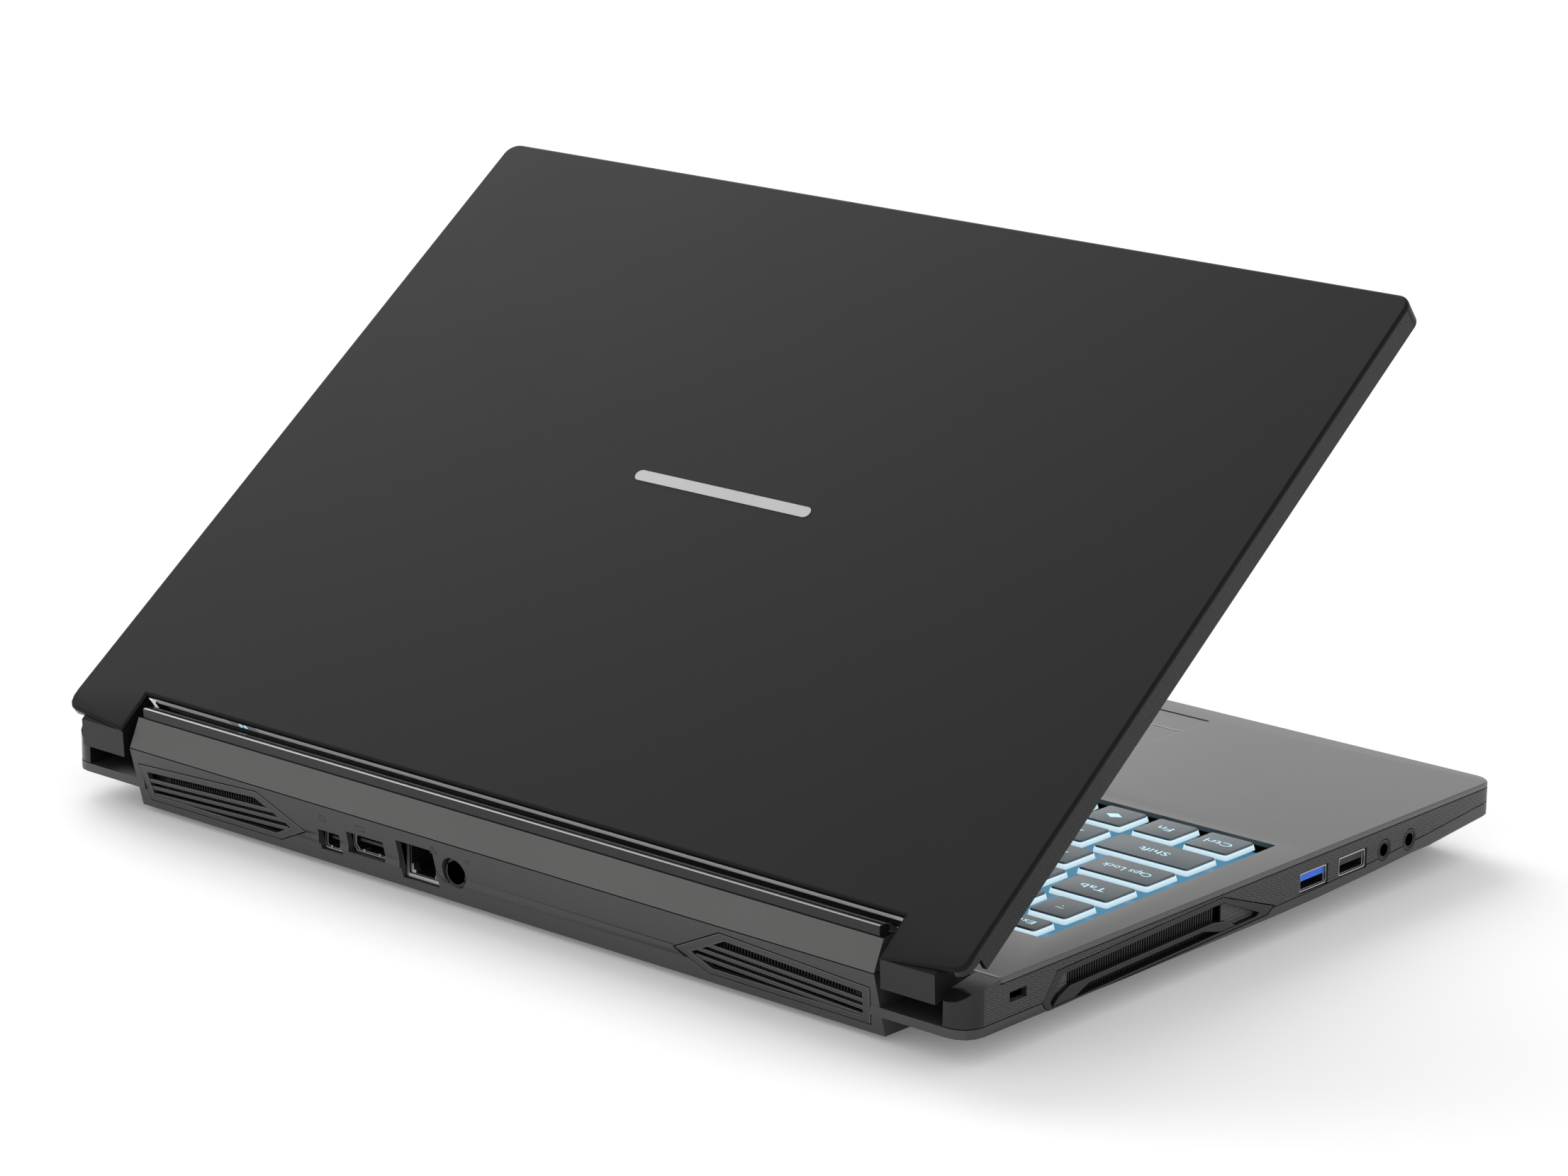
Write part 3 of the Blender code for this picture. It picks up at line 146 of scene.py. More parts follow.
# Frame nodes that keep their shape, by finish
PLAIN_FINISHES = {
    "port_plastic": ("fan_housing_left", "fan_housing_right", "fan_impeller_left",
                     "fan_impeller_right", "speaker_left", "speaker_right"),
    "socket_steel": ("bottom_screw_front_left", "bottom_screw_front_right",
                     "bottom_screw_rear_left", "bottom_screw_rear_right"),
    # The battery's dark wrap is its own finish. On the steel hinge arms and brackets, the same dark
    # wrap is painted shade inside the case.
    "pack_wrap_and_shade": ("battery_pack", "hinge_arm_left", "hinge_arm_right", "hinge_bracket_left",
                  "hinge_bracket_right"),
    "mark_silver": ("power_button",),
    "rubber": ("foot_front_left", "foot_front_right", "foot_rear"),
    "copper": ("heat_pipes",),
    "board_green": ("mainboard", "memory_module", "storage_drive"),
}

# Light: where the glow stands, its edge, the sky's levels by height, and the softbox
GLOW_DIRECTION = (0.78, -0.36, 0.52)
GLOW_EDGE = (0.90, 0.97)
SKY_LEVELS = ((0.60, 0.90), (0.70, 0.72), (0.80, 0.52))
SOFTBOX_PLACE = (1.55, -0.95, 1.30)
SOFTBOX_TARGET = (0.05, 0.0, 0.1)
SOFTBOX_SIZE = (1.3, 1.3)
FLOOR_HALF = 30.0

# Joins of the frame's loose triangles
MERGE = 0.000001
FLAT = math.radians(0.6)
CREASE = math.radians(38)

# Key pitches, which the key rows of the frame share
KEY_PITCH = 0.0187
KEY_GAP = 0.0038
NUMPAD_PITCH = 0.0151
NUMPAD_KEY_GAP = 0.0030
NUMPAD_GAP = 0.0036
NUMPAD_COLUMNS = 4

# Node, body, place of the row's second key, its first key's number, and the legends
KEY_ROWS = (
    ("keys_bottom_left", "bottom_left_keys", 0.0199, 0, ("Ctrl", "Fn", "◆", "Alt")),
    ("space_bar", "space_key", 0.0199, 4, ("",)),
    ("keys_bottom_right", "bottom_right_keys", 0.0199, 9,
     ("Alt", "Menu", "Ctrl", "<", "v", ">", "0", ".", "Enter")),
    ("keys_shift_row", "shift_row", 0.0382, 0,
     ("Shift", "Z", "X", "C", "V", "B", "N", "M", "<\n,", ">\n.", "?\n/", "Shift", "^",
      "1", "2", "3", "=")),
    ("keys_caps_row", "caps_row", 0.0294, 0,
     ("Caps Lock", "A", "S", "D", "F", "G", "H", "J", "K", "L", ":\n;", "\"\n'", "Enter",
      "4", "5", "6", "+")),
    ("keys_tab_row", "tab_row", 0.0248, 0,
     ("Tab", "Q", "W", "E", "R", "T", "Y", "U", "I", "O", "P", "{\n[", "}\n]", "|\n\\",
      "7", "8", "9", "-")),
    ("keys_number_row", "number_row", 0.0175, 0,
     ("~\n`", "!\n1", "@\n2", "#\n3", "$\n4", "%\n5", "^\n6", "&\n7", "*\n8", "(\n9", ")\n0",
      "_\n-", "+\n=", "Back", "Num", "/", "*", "PgUp")),
    ("keys_function_row", "function_row", 0.0175, 0,
     ("Esc", "F1", "F2", "F3", "F4", "F5", "F6", "F7", "F8", "F9", "F10", "F11", "F12", "Del",
      "Ins", "Home", "End", "PgDn")),
)


# Properties -----------------------------------------------------------------------------------

def colour_property(name, description, default):
    return FloatVectorProperty(name=name, description=description, default=default,
                               subtype="COLOR", size=3, min=0.0, max=1.0)


def length_property(name, description, default):
    return FloatProperty(name=name, description=description, default=default, min=0.0,
                         unit="LENGTH", precision=5)


class LaptopFinishes(bpy.types.PropertyGroup):
    """Colours of the lacquers, mouldings and lights"""
    lid: colour_property("Lid", "Satin black lacquer of the lid", (0.0062, 0.0062, 0.0064))
    deck: colour_property("Deck", "Satin grey lacquer of the deck and the hood",
                          (0.095, 0.094, 0.092))
    case: colour_property("Case", "Grained black moulding of the casing", (0.030, 0.030, 0.0305))
    gloss: colour_property("Vent frames", "Polished black moulding", (0.010, 0.010, 0.0105))
    # The trim's near-white is partly the strip's own light silver and partly painted light that
    # lifts it out of the lid's shade.
    trim: colour_property("Trim", "Brushed strip along the lid", (0.95, 0.95, 0.96))
    key: colour_property("Key tops", "Soft-touch paint of the keys", (0.085, 0.115, 0.135))
    glow: colour_property("Key light", "Light of the key sides", (0.70, 0.90, 1.0))
    guide: colour_property("Light guide", "Light between the keys", (0.05, 0.22, 0.36))
    legend: colour_property("Legends", "Light through the legends", (0.42, 0.68, 0.80))
    glow_strength: FloatProperty(name="Key light strength", default=0.90, min=0.0,
                                 description="Strength of the light in the key sides")
    guide_strength: FloatProperty(name="Light guide strength", default=0.75, min=0.0,
                                  description="Strength of the light between the keys")


class LaptopSizes(bpy.types.PropertyGroup):
    """Sizes of edges and small parts"""
    shell_edge: length_property("Shell edge", "Rounding of the casing's edges", 0.00035)
    deck_edge: length_property("Deck edge", "Bright chamfer round the deck's openings", 0.00025)
    lid_edge: length_property("Lid edge", "Rounding of the lid's edges", 0.00105)
    key_taper: length_property("Key taper", "How far a keycap's side leans in", 0.0005)
    key_top: length_property("Key top", "Thickness of a keycap's painted top", 0.0006)
    key_corner: length_property("Key corner", "Radius of a keycap's corners", 0.0010)
    legend_size: length_property("Legend size", "Height of a legend's letters", 0.0042)
    fin_pitch: length_property("Fin pitch", "Spacing of the cooling fins in the vents", 0.0011)


class LaptopStage(bpy.types.PropertyGroup):
    """Camera, lights and floor"""
    lens: FloatProperty(name="Lens", description="Focal length of the camera, in millimetres",
                        default=109.51, min=10.0)
    azimuth: FloatProperty(name="Camera azimuth", default=math.radians(220.985), subtype="ANGLE",
                           description="Direction of the camera round the laptop")
    elevation: FloatProperty(name="Camera elevation", default=math.radians(15.328),
                             subtype="ANGLE", description="Height angle of the camera")
    roll: FloatProperty(name="Camera roll", default=math.radians(0.599), subtype="ANGLE",
                        description="Turn of the camera about its own line of sight")
    place: FloatVectorProperty(name="Camera place", default=(-0.92429, 1.05740, 0.46021),
                               subtype="TRANSLATION", unit="LENGTH",
                               description="Where the camera stands")
    room: FloatProperty(name="Room light", default=1.15, min=0.0,
                        description="Brightness of the plain surroundings")
    paper_glow: FloatProperty(name="Paper glow", default=0.12, min=0.0,
                              description="Light of the paper under the laptop")
    glow: FloatProperty(name="Glow", default=2.8, min=0.0,
                        description="Brightness of the soft glow over the lid's far corner")
    zenith: FloatProperty(name="Zenith", default=0.50, min=0.0, max=1.0,
                          description="Brightness straight above, as a share of the horizon")
    key_light: FloatProperty(name="Key light", default=7.0, min=0.0,
                             description="Power of the large softbox, in watts")


# Materials ------------------------------------------------------------------------------------

MATERIALS = {}


def add_node(material, kind, inputs=None, **settings):
    """A shader node. Its inputs are numbers, or sockets that are linked to it."""
    node = material.node_tree.nodes.new(kind)
    for key, value in settings.items():
        setattr(node, key, value)
    for key, value in (inputs or {}).items():
        if isinstance(value, bpy.types.NodeSocket):
            material.node_tree.links.new(value, node.inputs[key])
        else:
            node.inputs[key].default_value = value
    return node


def connect(material, source, target):
    material.node_tree.links.new(source, target)


def two_tones(material, factor, first, second, low=0.35, high=0.65):
    """A ramp between two colours."""
    ramp = add_node(material, "ShaderNodeValToRGB", {"Fac": factor})
    ramp.color_ramp.elements[0].position = low
    ramp.color_ramp.elements[0].color = (*first, 1.0)
    ramp.color_ramp.elements[1].position = high
    ramp.color_ramp.elements[1].color = (*second, 1.0)
    return ramp.outputs["Color"]


def toned(colour, amount):
    return tuple(min(1.0, part * amount) for part in colour)


def coordinates(material, turn=(0.0, 0.0, 0.0), scale=(1.0, 1.0, 1.0)):
    place = add_node(material, "ShaderNodeTexCoord")
    mapping = add_node(material, "ShaderNodeMapping", {"Vector": place.outputs["Object"],
                                                       "Rotation": turn, "Scale": scale})
    return mapping.outputs["Vector"]


def shader_of(material):
    return material.node_tree.nodes["Principled BSDF"]


def base_material(name, colour, roughness, metallic=0.0, mottle=0.05, smudge=0.04, broad=22.0):
    """Principled material whose tone and roughness wander a little over the surface."""
    material = bpy.data.materials.new(name)
    material.use_nodes = True
    shader = shader_of(material)
    where = coordinates(material)
    cloud = add_node(material, "ShaderNodeTexNoise", {"Vector": where, "Scale": broad,
                                                      "Detail": 4.0, "Roughness": 0.6})
    tone = two_tones(material, cloud.outputs["Fac"], toned(colour, 1 - mottle),
                     toned(colour, 1 + mottle))
    connect(material, tone, shader.inputs["Base Color"])
    wear = add_node(material, "ShaderNodeMapRange", {"Value": cloud.outputs["Fac"],
                                                     "From Min": 0.3, "From Max": 0.7,
                                                     "To Min": roughness - smudge,
                                                     "To Max": roughness + smudge})
    connect(material, wear.outputs["Result"], shader.inputs["Roughness"])
    shader.inputs["Metallic"].default_value = metallic
    MATERIALS[name] = material
    return material


def add_bump(material, height, distance, strength=1.0):
    shader = shader_of(material)
    bump = add_node(material, "ShaderNodeBump", {"Height": height, "Distance": distance,
                                                 "Strength": strength})
    connect(material, bump.outputs["Normal"], shader.inputs["Normal"])


def add_grain(material, scale, distance, strength=1.0):
    grain = add_node(material, "ShaderNodeTexNoise", {"Vector": coordinates(material),
                                                      "Scale": scale, "Detail": 3.0,
                                                      "Roughness": 0.6})
    add_bump(material, grain.outputs["Fac"], distance, strength)


def grained(name, colour, roughness, metallic=0.0, scale=1800.0, depth=0.00004, strength=0.5,
            **more):
    material = base_material(name, colour, roughness, metallic, **more)
    add_grain(material, scale, depth, strength)


def woven(name, colour, roughness, turn=0.0):
    """Moulding with rows of short waves pressed into its sides."""
    material = base_material(name, colour, roughness)
    shader = shader_of(material)
    place = add_node(material, "ShaderNodeTexCoord")
    turned = add_node(material, "ShaderNodeMapping", {"Vector": place.outputs["Object"],
                                                      "Rotation": (turn, 0.0, 0.0)})
    parts = add_node(material, "ShaderNodeSeparateXYZ", {"Vector": turned.outputs["Vector"]})
    along = add_node(material, "ShaderNodeMath", {0: parts.outputs["X"], 1: parts.outputs["Y"]},
                     operation="ADD")
    ripple = add_node(material, "ShaderNodeMath", {0: along.outputs[0], 1: 2600.0},
                      operation="MULTIPLY")
    swing = add_node(material, "ShaderNodeMath", {0: ripple.outputs[0]}, operation="SINE")
    rise = add_node(material, "ShaderNodeMath", {0: swing.outputs[0], 1: 0.00012,
                                                 2: parts.outputs["Z"]},
                    operation="MULTIPLY_ADD")
    flat = add_node(material, "ShaderNodeCombineXYZ", {"X": along.outputs[0],
                                                       "Y": rise.outputs[0]})
    bricks = add_node(material, "ShaderNodeTexBrick",
                      {"Vector": flat.outputs["Vector"], "Scale": 1.0, "Mortar Size": 0.00018,
                       "Mortar Smooth": 1.0, "Brick Width": 0.0024, "Row Height": 0.0008,
                       "Color1": (1, 1, 1, 1), "Color2": (0.75, 0.75, 0.75, 1),
                       "Mortar": (0, 0, 0, 1)})
    tone = two_tones(material, bricks.outputs["Color"], toned(colour, 0.60),
                     toned(colour, 1.25), 0.1, 0.9)
    connect(material, tone, shader.inputs["Base Color"])
    add_bump(material, bricks.outputs["Color"], 0.0004, 1.0)


def brushed(name, colour, roughness, metallic=1.0, stretch=(1.0, 90.0, 90.0)):
    """Metal with fine lines along one direction."""
    material = base_material(name, colour, roughness, metallic, mottle=0.04)
    lines = add_node(material, "ShaderNodeTexNoise",
                     {"Vector": coordinates(material, scale=stretch), "Scale": 60.0,
                      "Detail": 4.0})
    add_bump(material, lines.outputs["Fac"], 0.00002, 0.4)


def lit(name, colour, strength, low=None, high=None, top_colour=None):
    """Frosted plastic with light in it, which fades from one height to another."""
    material = base_material(name, toned(colour, 0.25), 0.45)
    shader = shader_of(material)
    if low is None:
        shader.inputs["Emission Color"].default_value = (*colour, 1.0)
    else:
        place = add_node(material, "ShaderNodeTexCoord")
        height = add_node(material, "ShaderNodeSeparateXYZ", {"Vector": place.outputs["Object"]})
        share = add_node(material, "ShaderNodeMapRange", {"Value": height.outputs["Z"],
                                                          "From Min": low, "From Max": high})
        tone = two_tones(material, share.outputs["Result"], colour, top_colour, 0.0, 1.0)
        connect(material, tone, shader.inputs["Emission Color"])
    shader.inputs["Emission Strength"].default_value = strength


def mesh_cloth(name, colour, pitch):
    """Fine woven mesh over an opening."""
    material = base_material(name, colour, 0.5)
    place = add_node(material, "ShaderNodeTexCoord")
    cells = add_node(material, "ShaderNodeTexVoronoi", {"Vector": place.outputs["Object"],
                                                        "Scale": 1.0 / pitch,
                                                        "Randomness": 0.15})
    shader = shader_of(material)
    tone = two_tones(material, cells.outputs["Distance"], (0.002, 0.002, 0.002), colour, 0.25, 0.5)
    connect(material, tone, shader.inputs["Base Color"])
    add_bump(material, cells.outputs["Distance"], 0.0004)


def make_materials():
    colours = bpy.context.scene.laptop_finishes
    grained("lid_lacquer", colours.lid, 0.44, scale=2600, depth=0.00001,
            strength=0.3, mottle=0.03, smudge=0.02)
    woven("lid_side", toned(colours.lid, 1.5), 0.45, turn=OPEN_ANGLE)
    grained("deck_lacquer", colours.deck, 0.36, metallic=0.45, scale=3000, depth=0.00001,
            strength=0.35, mottle=0.03, smudge=0.02)
    grained("bright_edge", toned(colours.deck, 3.0), 0.25, metallic=0.9, scale=3000,
            depth=0.000005, strength=0.2)
    grained("case_moulding", colours.case, 0.48, scale=2400, depth=0.00005, strength=0.55)
    woven("case_side", colours.case, 0.40)
    # A lighter copy of the case moulding for the tail's rear face: the extra lightness is painted
    # light, not a different plastic.
    grained("lit_tail_moulding", toned(colours.case, 1.25), 0.42, scale=2600, depth=0.00004,
            strength=0.5)
    grained("gloss_moulding", colours.gloss, 0.12, scale=900, depth=0.000005, strength=0.2,
            smudge=0.03)
    # Lighter copies of the polished black moulding for the rear vents: the frame's extra lightness
    # is painted sheen, and the much lighter tone on its bevels is a painted highlight.
    grained("vent_sheen_moulding", toned(colours.gloss, 3.0), 0.30, scale=900, depth=0.000005,
            strength=0.2, smudge=0.03)
    grained("vent_edge_highlight", toned(colours.gloss, 9.0), 0.34, scale=900, depth=0.000005,
            strength=0.2, smudge=0.03)
    # Matte near-white instead of metal: partly the strip's own light silver, partly painted light
    # that lifts it out of the lid's shade.
    brushed("trim_metal", colours.trim, 0.40, metallic=0.0)
    brushed("mark_silver", toned(colours.trim, 0.45), 0.38, metallic=0.3)
    grained("window_glass", (0.60, 0.60, 0.61), 0.20, scale=2000, depth=0.000003)
    grained("contact_gold", (0.75, 0.55, 0.20), 0.30, metallic=1.0, scale=900, depth=0.00001)
    brushed("socket_steel", (0.48, 0.48, 0.49), 0.36)
    grained("key_paint", colours.key, 0.50, scale=2500, depth=0.00002, strength=0.3)
    lit("key_light", toned(colours.glow, 0.62), colours.glow_strength,
        DECK_Z - 0.0022, DECK_Z - 0.0004, tuple(colours.glow))
    lit("guide_light", colours.guide, colours.guide_strength)
    lit("legend_light", colours.legend, 1.0)
    grained("rubber", (0.012, 0.012, 0.012), 0.85, scale=1500, depth=0.00008, strength=0.6)
    grained("port_plastic", (0.006, 0.006, 0.0062), 0.45, scale=1500, depth=0.00001)
    grained("port_blue", (0.01, 0.12, 0.75), 0.40, scale=1500, depth=0.00001)
    grained("fin_metal", (0.070, 0.069, 0.067), 0.35, metallic=0.8, scale=900,
            depth=0.00001)
    grained("copper", (0.72, 0.36, 0.20), 0.28, metallic=1.0, scale=500, depth=0.00001)
    grained("board_green", (0.015, 0.09, 0.04), 0.45, scale=700, depth=0.00006)
    # Dark wrap: the battery's own finish, and painted shade on the steel hinge parts.
    grained("pack_wrap_and_shade", (0.018, 0.018, 0.020), 0.45, scale=300, depth=0.00004)
    grained("screen_glass", (0.004, 0.0042, 0.0048), 0.22, scale=2000, depth=0.000003,
            strength=0.2, mottle=0.01, smudge=0.005)
    grained("lens_glass", (0.004, 0.005, 0.012), 0.05, scale=400, depth=0.000001)
    mesh_cloth("vent_mesh", (0.05, 0.05, 0.05), 0.0011)
    for name, socket, level in (("lid_lacquer", "Specular IOR Level", 0.12),
                                ("lid_side", "Specular IOR Level", 0.35),
                                ("gloss_moulding", "Specular IOR Level", 0.35),
                                ("screen_glass", "Coat Weight", 0.3)):
        shader_of(MATERIALS[name]).inputs[socket].default_value = level


# Modelling ------------------------------------------------------------------------------------

def start_from(node):
    """A bmesh of a frame node, with its loose triangles merged and its flat faces made whole."""
    bm = bmesh.new()
    bm.from_mesh(frame["nodes"][node].data)
    bmesh.ops.remove_doubles(bm, verts=bm.verts, dist=MERGE)
    bmesh.ops.dissolve_limit(bm, angle_limit=FLAT, verts=bm.verts, edges=bm.edges)
    return bm


def finish_piece(name, bm, materials, body, stands_for=(), edge=0.0, segments=2,
                 solid=True, edge_material=-1, even=False):
    """Turns a bmesh into a piece on a body, with rounded edges. Its seams stay sharp."""
    if solid:
        bmesh.ops.recalc_face_normals(bm, faces=bm.faces)
    mesh = bpy.data.meshes.new(name)
    bm.to_mesh(mesh)
    bm.free()
    for material in materials:
        mesh.materials.append(MATERIALS[material])
    mesh.shade_smooth()
    mesh.set_sharp_from_angle(angle=CREASE)
    for line in mesh.edges:
        line.use_edge_sharp = line.use_edge_sharp or line.use_seam
    piece = bpy.data.objects.new(name, mesh)
    bpy.context.scene.collection.objects.link(piece)
    if edge:
        bevel = piece.modifiers.new("Rounded edges", "BEVEL")
        bevel.width = edge
        bevel.segments = segments
        bevel.limit_method = "ANGLE"
        bevel.angle_limit = CREASE
        bevel.harden_normals = True
        bevel.material = edge_material
        bevel.use_clamp_overlap = True
    if even:
        weighted = piece.modifiers.new("Even shading", "WEIGHTED_NORMAL")
        weighted.keep_sharp = True
        weighted.weight = 100
    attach(piece, body)
    if stands_for:
        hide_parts(*stands_for)


def paint_node(node, material):
    """Gives a frame node its material."""
    mesh = frame["nodes"][node].data
    mesh.materials.clear()
    mesh.materials.append(MATERIALS[material])
    mesh.polygons.foreach_set("material_index", [0] * len(mesh.polygons))


def add_block(bm, low, high, material=0):
    low = Vector(low)
    high = Vector(high)
    place = Matrix.Translation((low + high) / 2) @ Matrix.Diagonal((*(high - low), 1.0))
    made = bmesh.ops.create_cube(bm, size=1.0, matrix=place)
    faces = {face for vert in made["verts"] for face in vert.link_faces}
    for face in faces:
        face.material_index = material
    return made["verts"]


def add_ring(bm, centre, outer, inner, depth, axis="Y", sides=32, material=0):
    """A flat ring, whose front faces along the axis and which reaches back by its depth."""
    turns = {"X": Matrix.Rotation(math.pi / 2, 4, "Y"), "Y": Matrix.Rotation(math.pi / 2, 4, "X"),
             "Z": Matrix.Identity(4)}
    place = Matrix.Translation(centre) @ turns[axis]
    rings = []
    for radius, z in ((outer, -depth / 2), (outer, depth / 2), (inner, depth / 2),
                      (inner, -depth / 2)):
        made = bmesh.ops.create_circle(bm, segments=sides, radius=radius,
                                       matrix=place @ Matrix.Translation((0, 0, z)))
        rings.append([edge for vert in made["verts"] for edge in vert.link_edges])
    for i, ring in enumerate(rings):
        both = list(set(ring) | set(rings[(i + 1) % 4]))
        for face in bmesh.ops.bridge_loops(bm, edges=both)["faces"]:
            face.material_index = material


def add_plate(bm, outline, travel, material=0):
    """Extrudes a flat outline of 3-D points along a vector."""
    face = bm.faces.new([bm.verts.new(point) for point in outline])
    made = bmesh.ops.extrude_face_region(bm, geom=[face])
    verts = [part for part in made["geom"] if isinstance(part, bmesh.types.BMVert)]
    bmesh.ops.translate(bm, verts=verts, vec=travel)
    for part in made["geom"]:
        if isinstance(part, bmesh.types.BMFace):
            part.material_index = material
    face.material_index = material
    for edge in face.edges:
        for side in edge.link_faces:
            side.material_index = material


# Pieces ---------------------------------------------------------------------------------------

def arc(centre, radius, start, end, steps):
    turns = [math.radians(start + (end - start) * i / steps) for i in range(steps + 1)]
    return [(centre[0] + radius * math.cos(a), centre[1] + radius * math.sin(a)) for a in turns]


def lid_side_outline(inset):
    """Right half of the lid's outline from the middle of its front edge to its rear corner."""
    half = HALF - inset
    front = -LID_LENGTH + inset
    radius = LID_RADIUS - inset
    points = arc((half - radius, front + radius), radius, -90, 0, 12)
    return points + [(half, CREASE_END)]


def ear_outline():
    """From the crease's outer end round the ear's swept rear edge to its inner corner."""
    return [(HALF, CREASE_END), (HALF, -0.0020), (HALF - 0.0007, 0.0002),
            (HALF - 0.0021, 0.0016), (HALF - 0.0040, EAR_TIP), (EAR_IN, EAR_BEHIND)]


def mirrored(points):
    return [(-x, *rest) for x, *rest in reversed(points)]


def add_lid_skin(bm, low):
    """The lid's flat top between its creases and the two ear facets that fall to the rear."""
    right = lid_side_outline(0) + [(EAR_IN, -NOTCH_AHEAD)]
    rim = [(x, y, LID_TOP) for x, y in right + mirrored(right)]
    bm.faces.new([bm.verts.new(point) for point in rim])
    corner, end = Vector((EAR_IN, -NOTCH_AHEAD)), Vector((HALF, CREASE_END))
    across = (end - corner).orthogonal().normalized()
    reach = abs((Vector((EAR_IN, EAR_BEHIND)) - corner).dot(across))
    for side in (1, -1):
        ear = []
        for x, y in [(EAR_IN, -NOTCH_AHEAD)] + ear_outline():
            fall = abs((Vector((x, y)) - corner).dot(across)) / reach
            ear.append((side * x, y, LID_TOP - EAR_FALL * fall))
        bm.faces.new([bm.verts.new(point) for point in ear])
    bmesh.ops.remove_doubles(bm, verts=bm.verts, dist=MERGE)
    made = bmesh.ops.extrude_face_region(bm, geom=list(bm.faces), use_keep_orig=True)
    under = [part for part in made["geom"] if isinstance(part, bmesh.types.BMVert)]
    for vert in under:
        vert.co.z = low
    bmesh.ops.recalc_face_normals(bm, faces=bm.faces)
    for edge in bm.edges:
        edge.seam = 0.01 < edge.calc_face_angle(0) < math.radians(30)
    edges = [edge for edge in bm.edges
             if min(end.co.z for end in edge.verts) > low + MERGE
             and edge.calc_face_angle(0) > math.radians(60)]
    bmesh.ops.bevel(bm, geom=edges, offset=bpy.context.scene.laptop_sizes.lid_edge,
                    offset_type="OFFSET", segments=3, profile=0.5, affect="EDGES", material=-1)


def build_lid():
    ceiling = LID_TOP - LID_SKIN
    bm = bmesh.new()
    add_lid_skin(bm, ceiling)
    outer = lid_side_outline(0)[:-1] + [(HALF, -LIP_LENGTH)]
    inner = lid_side_outline(LID_WALL)[:-1] + [(HALF - LID_WALL, -LIP_LENGTH)]
    rim = mirrored(outer) + outer + inner[::-1] + mirrored(inner)[::-1]
    add_plate(bm, [(x, y, LID_RIM) for x, y in rim], (0, 0, ceiling - LID_RIM))
    lip_in = EAR_IN + EAR_WIDTH
    lip = [(lip_in - 0.0005, -LIP_LENGTH), (HALF, -LIP_LENGTH)] + ear_outline()[1:-1]
    lip += [(lip_in - 0.0005, EAR_TIP)]
    for side in (1, -1):
        add_plate(bm, [(side * x, y, ceiling) for x, y in lip],
                  (0, 0, LID_TOP - LIP_THICK - ceiling))
        section = [(EAR_BEHIND - 0.0002, LID_TOP - EAR_FALL - 0.0008), (0.0092, -0.0022),
                   (0.0084, -0.0030), (0.0060, -0.0034), (-0.0040, -0.0034),
                   (-NOTCH_AHEAD + 0.0008, -0.0014), (-NOTCH_AHEAD, LID_RIM + 0.0010),
                   (-NOTCH_AHEAD, ceiling + 0.0004)]
        add_plate(bm, [(side * EAR_IN, y, z) for y, z in section], (side * EAR_WIDTH, 0, 0))
    bmesh.ops.recalc_face_normals(bm, faces=bm.faces)
    for face in bm.faces:
        centre = face.calc_center_median()
        if abs(face.normal.x) > 0.95 and abs(centre.x) > HALF - MERGE:
            face.material_index = 1
        elif centre.y > -NOTCH_AHEAD and centre.z < ceiling - 0.0002 and face.normal.y > 0.3:
            face.material_index = 2
    bmesh.ops.transform(bm, matrix=LID_PLACE, verts=bm.verts)
    finish_piece("lid_shell", bm, ("lid_lacquer", "lid_side", "gloss_moulding"), "lid",
                 ("lid_cover",), even=True)
    build_lid_mark()
    bm = start_from("display_bezel")
    for face in bm.faces:
        if face.normal.y > 0.7 and face.calc_center_median().y > HINGE_Y - 0.02:
            face.material_index = 1
    finish_piece("screen_surround", bm, ("case_moulding", "gloss_moulding"), "lid",
                 ("display_bezel",), 0.0002)
    paint_node("screen_panel", "screen_glass")
    paint_node("camera_module", "lens_glass")


def build_lid_mark():
    """A plain rounded bar in the middle of the lid."""
    bm = bmesh.new()
    half, radius = MARK_LENGTH / 2 - MARK_HEIGHT / 2, MARK_HEIGHT / 2
    ends = arc((half, -MARK_AHEAD), radius, -90, 90, 12)
    ends += arc((-half, -MARK_AHEAD), radius, 90, 270, 12)
    add_plate(bm, [(x, y, LID_TOP) for x, y in ends], (0, 0, 0.00015))
    bmesh.ops.transform(bm, matrix=LID_PLACE, verts=bm.verts)
    finish_piece("lid_mark", bm, ("mark_silver",), "lid", edge=0.00005)


def build_trim():
    """The strip in the lid's rear edge, with slanted ends, and the lit window let into it."""
    reach, rear = EAR_IN - 0.0030, -NOTCH_AHEAD - 0.0002
    low, high, slant = TRIM_LOW, LID_TOP - LID_SKIN - 0.0003, TRIM_SLANT
    window_low, window_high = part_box("status_window")
    seams = (window_low.x, window_high.x)
    bm = bmesh.new()
    for outline in (((-reach - slant, low), (seams[0], low),
                     (seams[0] + slant, high), (-reach - slant, high)),
                    ((seams[1] + slant, low), (reach, low),
                     (reach + slant, high), (seams[1] + slant * 2, high))):
        add_plate(bm, [(x - (TRIM_SHIFT if x > 0 else 0), rear, z) for x, z in outline],
                  (0, -TRIM_THICK, 0))
    bmesh.ops.transform(bm, matrix=LID_PLACE, verts=bm.verts)
    finish_piece("lid_trim_strip", bm, ("trim_metal",), "lid", ("lid_trim",),
                 0.00012)
    bm = bmesh.new()
    outline = ((seams[0] + 0.0002, low), (seams[1] + slant - 0.0002, low),
               (seams[1] + 2 * slant - 0.0002, high), (seams[0] + slant + 0.0002, high))
    add_plate(bm, [(x, rear, z) for x, z in outline], (0, -TRIM_THICK, 0))
    middle = ((seams[0] + seams[1]) / 2 + slant, (low + high) / 2)
    for offset in (-0.0010, 0.0011):
        add_plate(bm, [(middle[0] + offset + x, rear + 0.00003, middle[1] + z)
                       for x, z in arc((0, 0), 0.0008, 0, 345, 14)], (0, -0.0002, 0), material=1)
    bmesh.ops.transform(bm, matrix=LID_PLACE, verts=bm.verts)
    finish_piece("status_lens", bm, ("window_glass", "legend_light"), "lid",
                 ("status_window",))


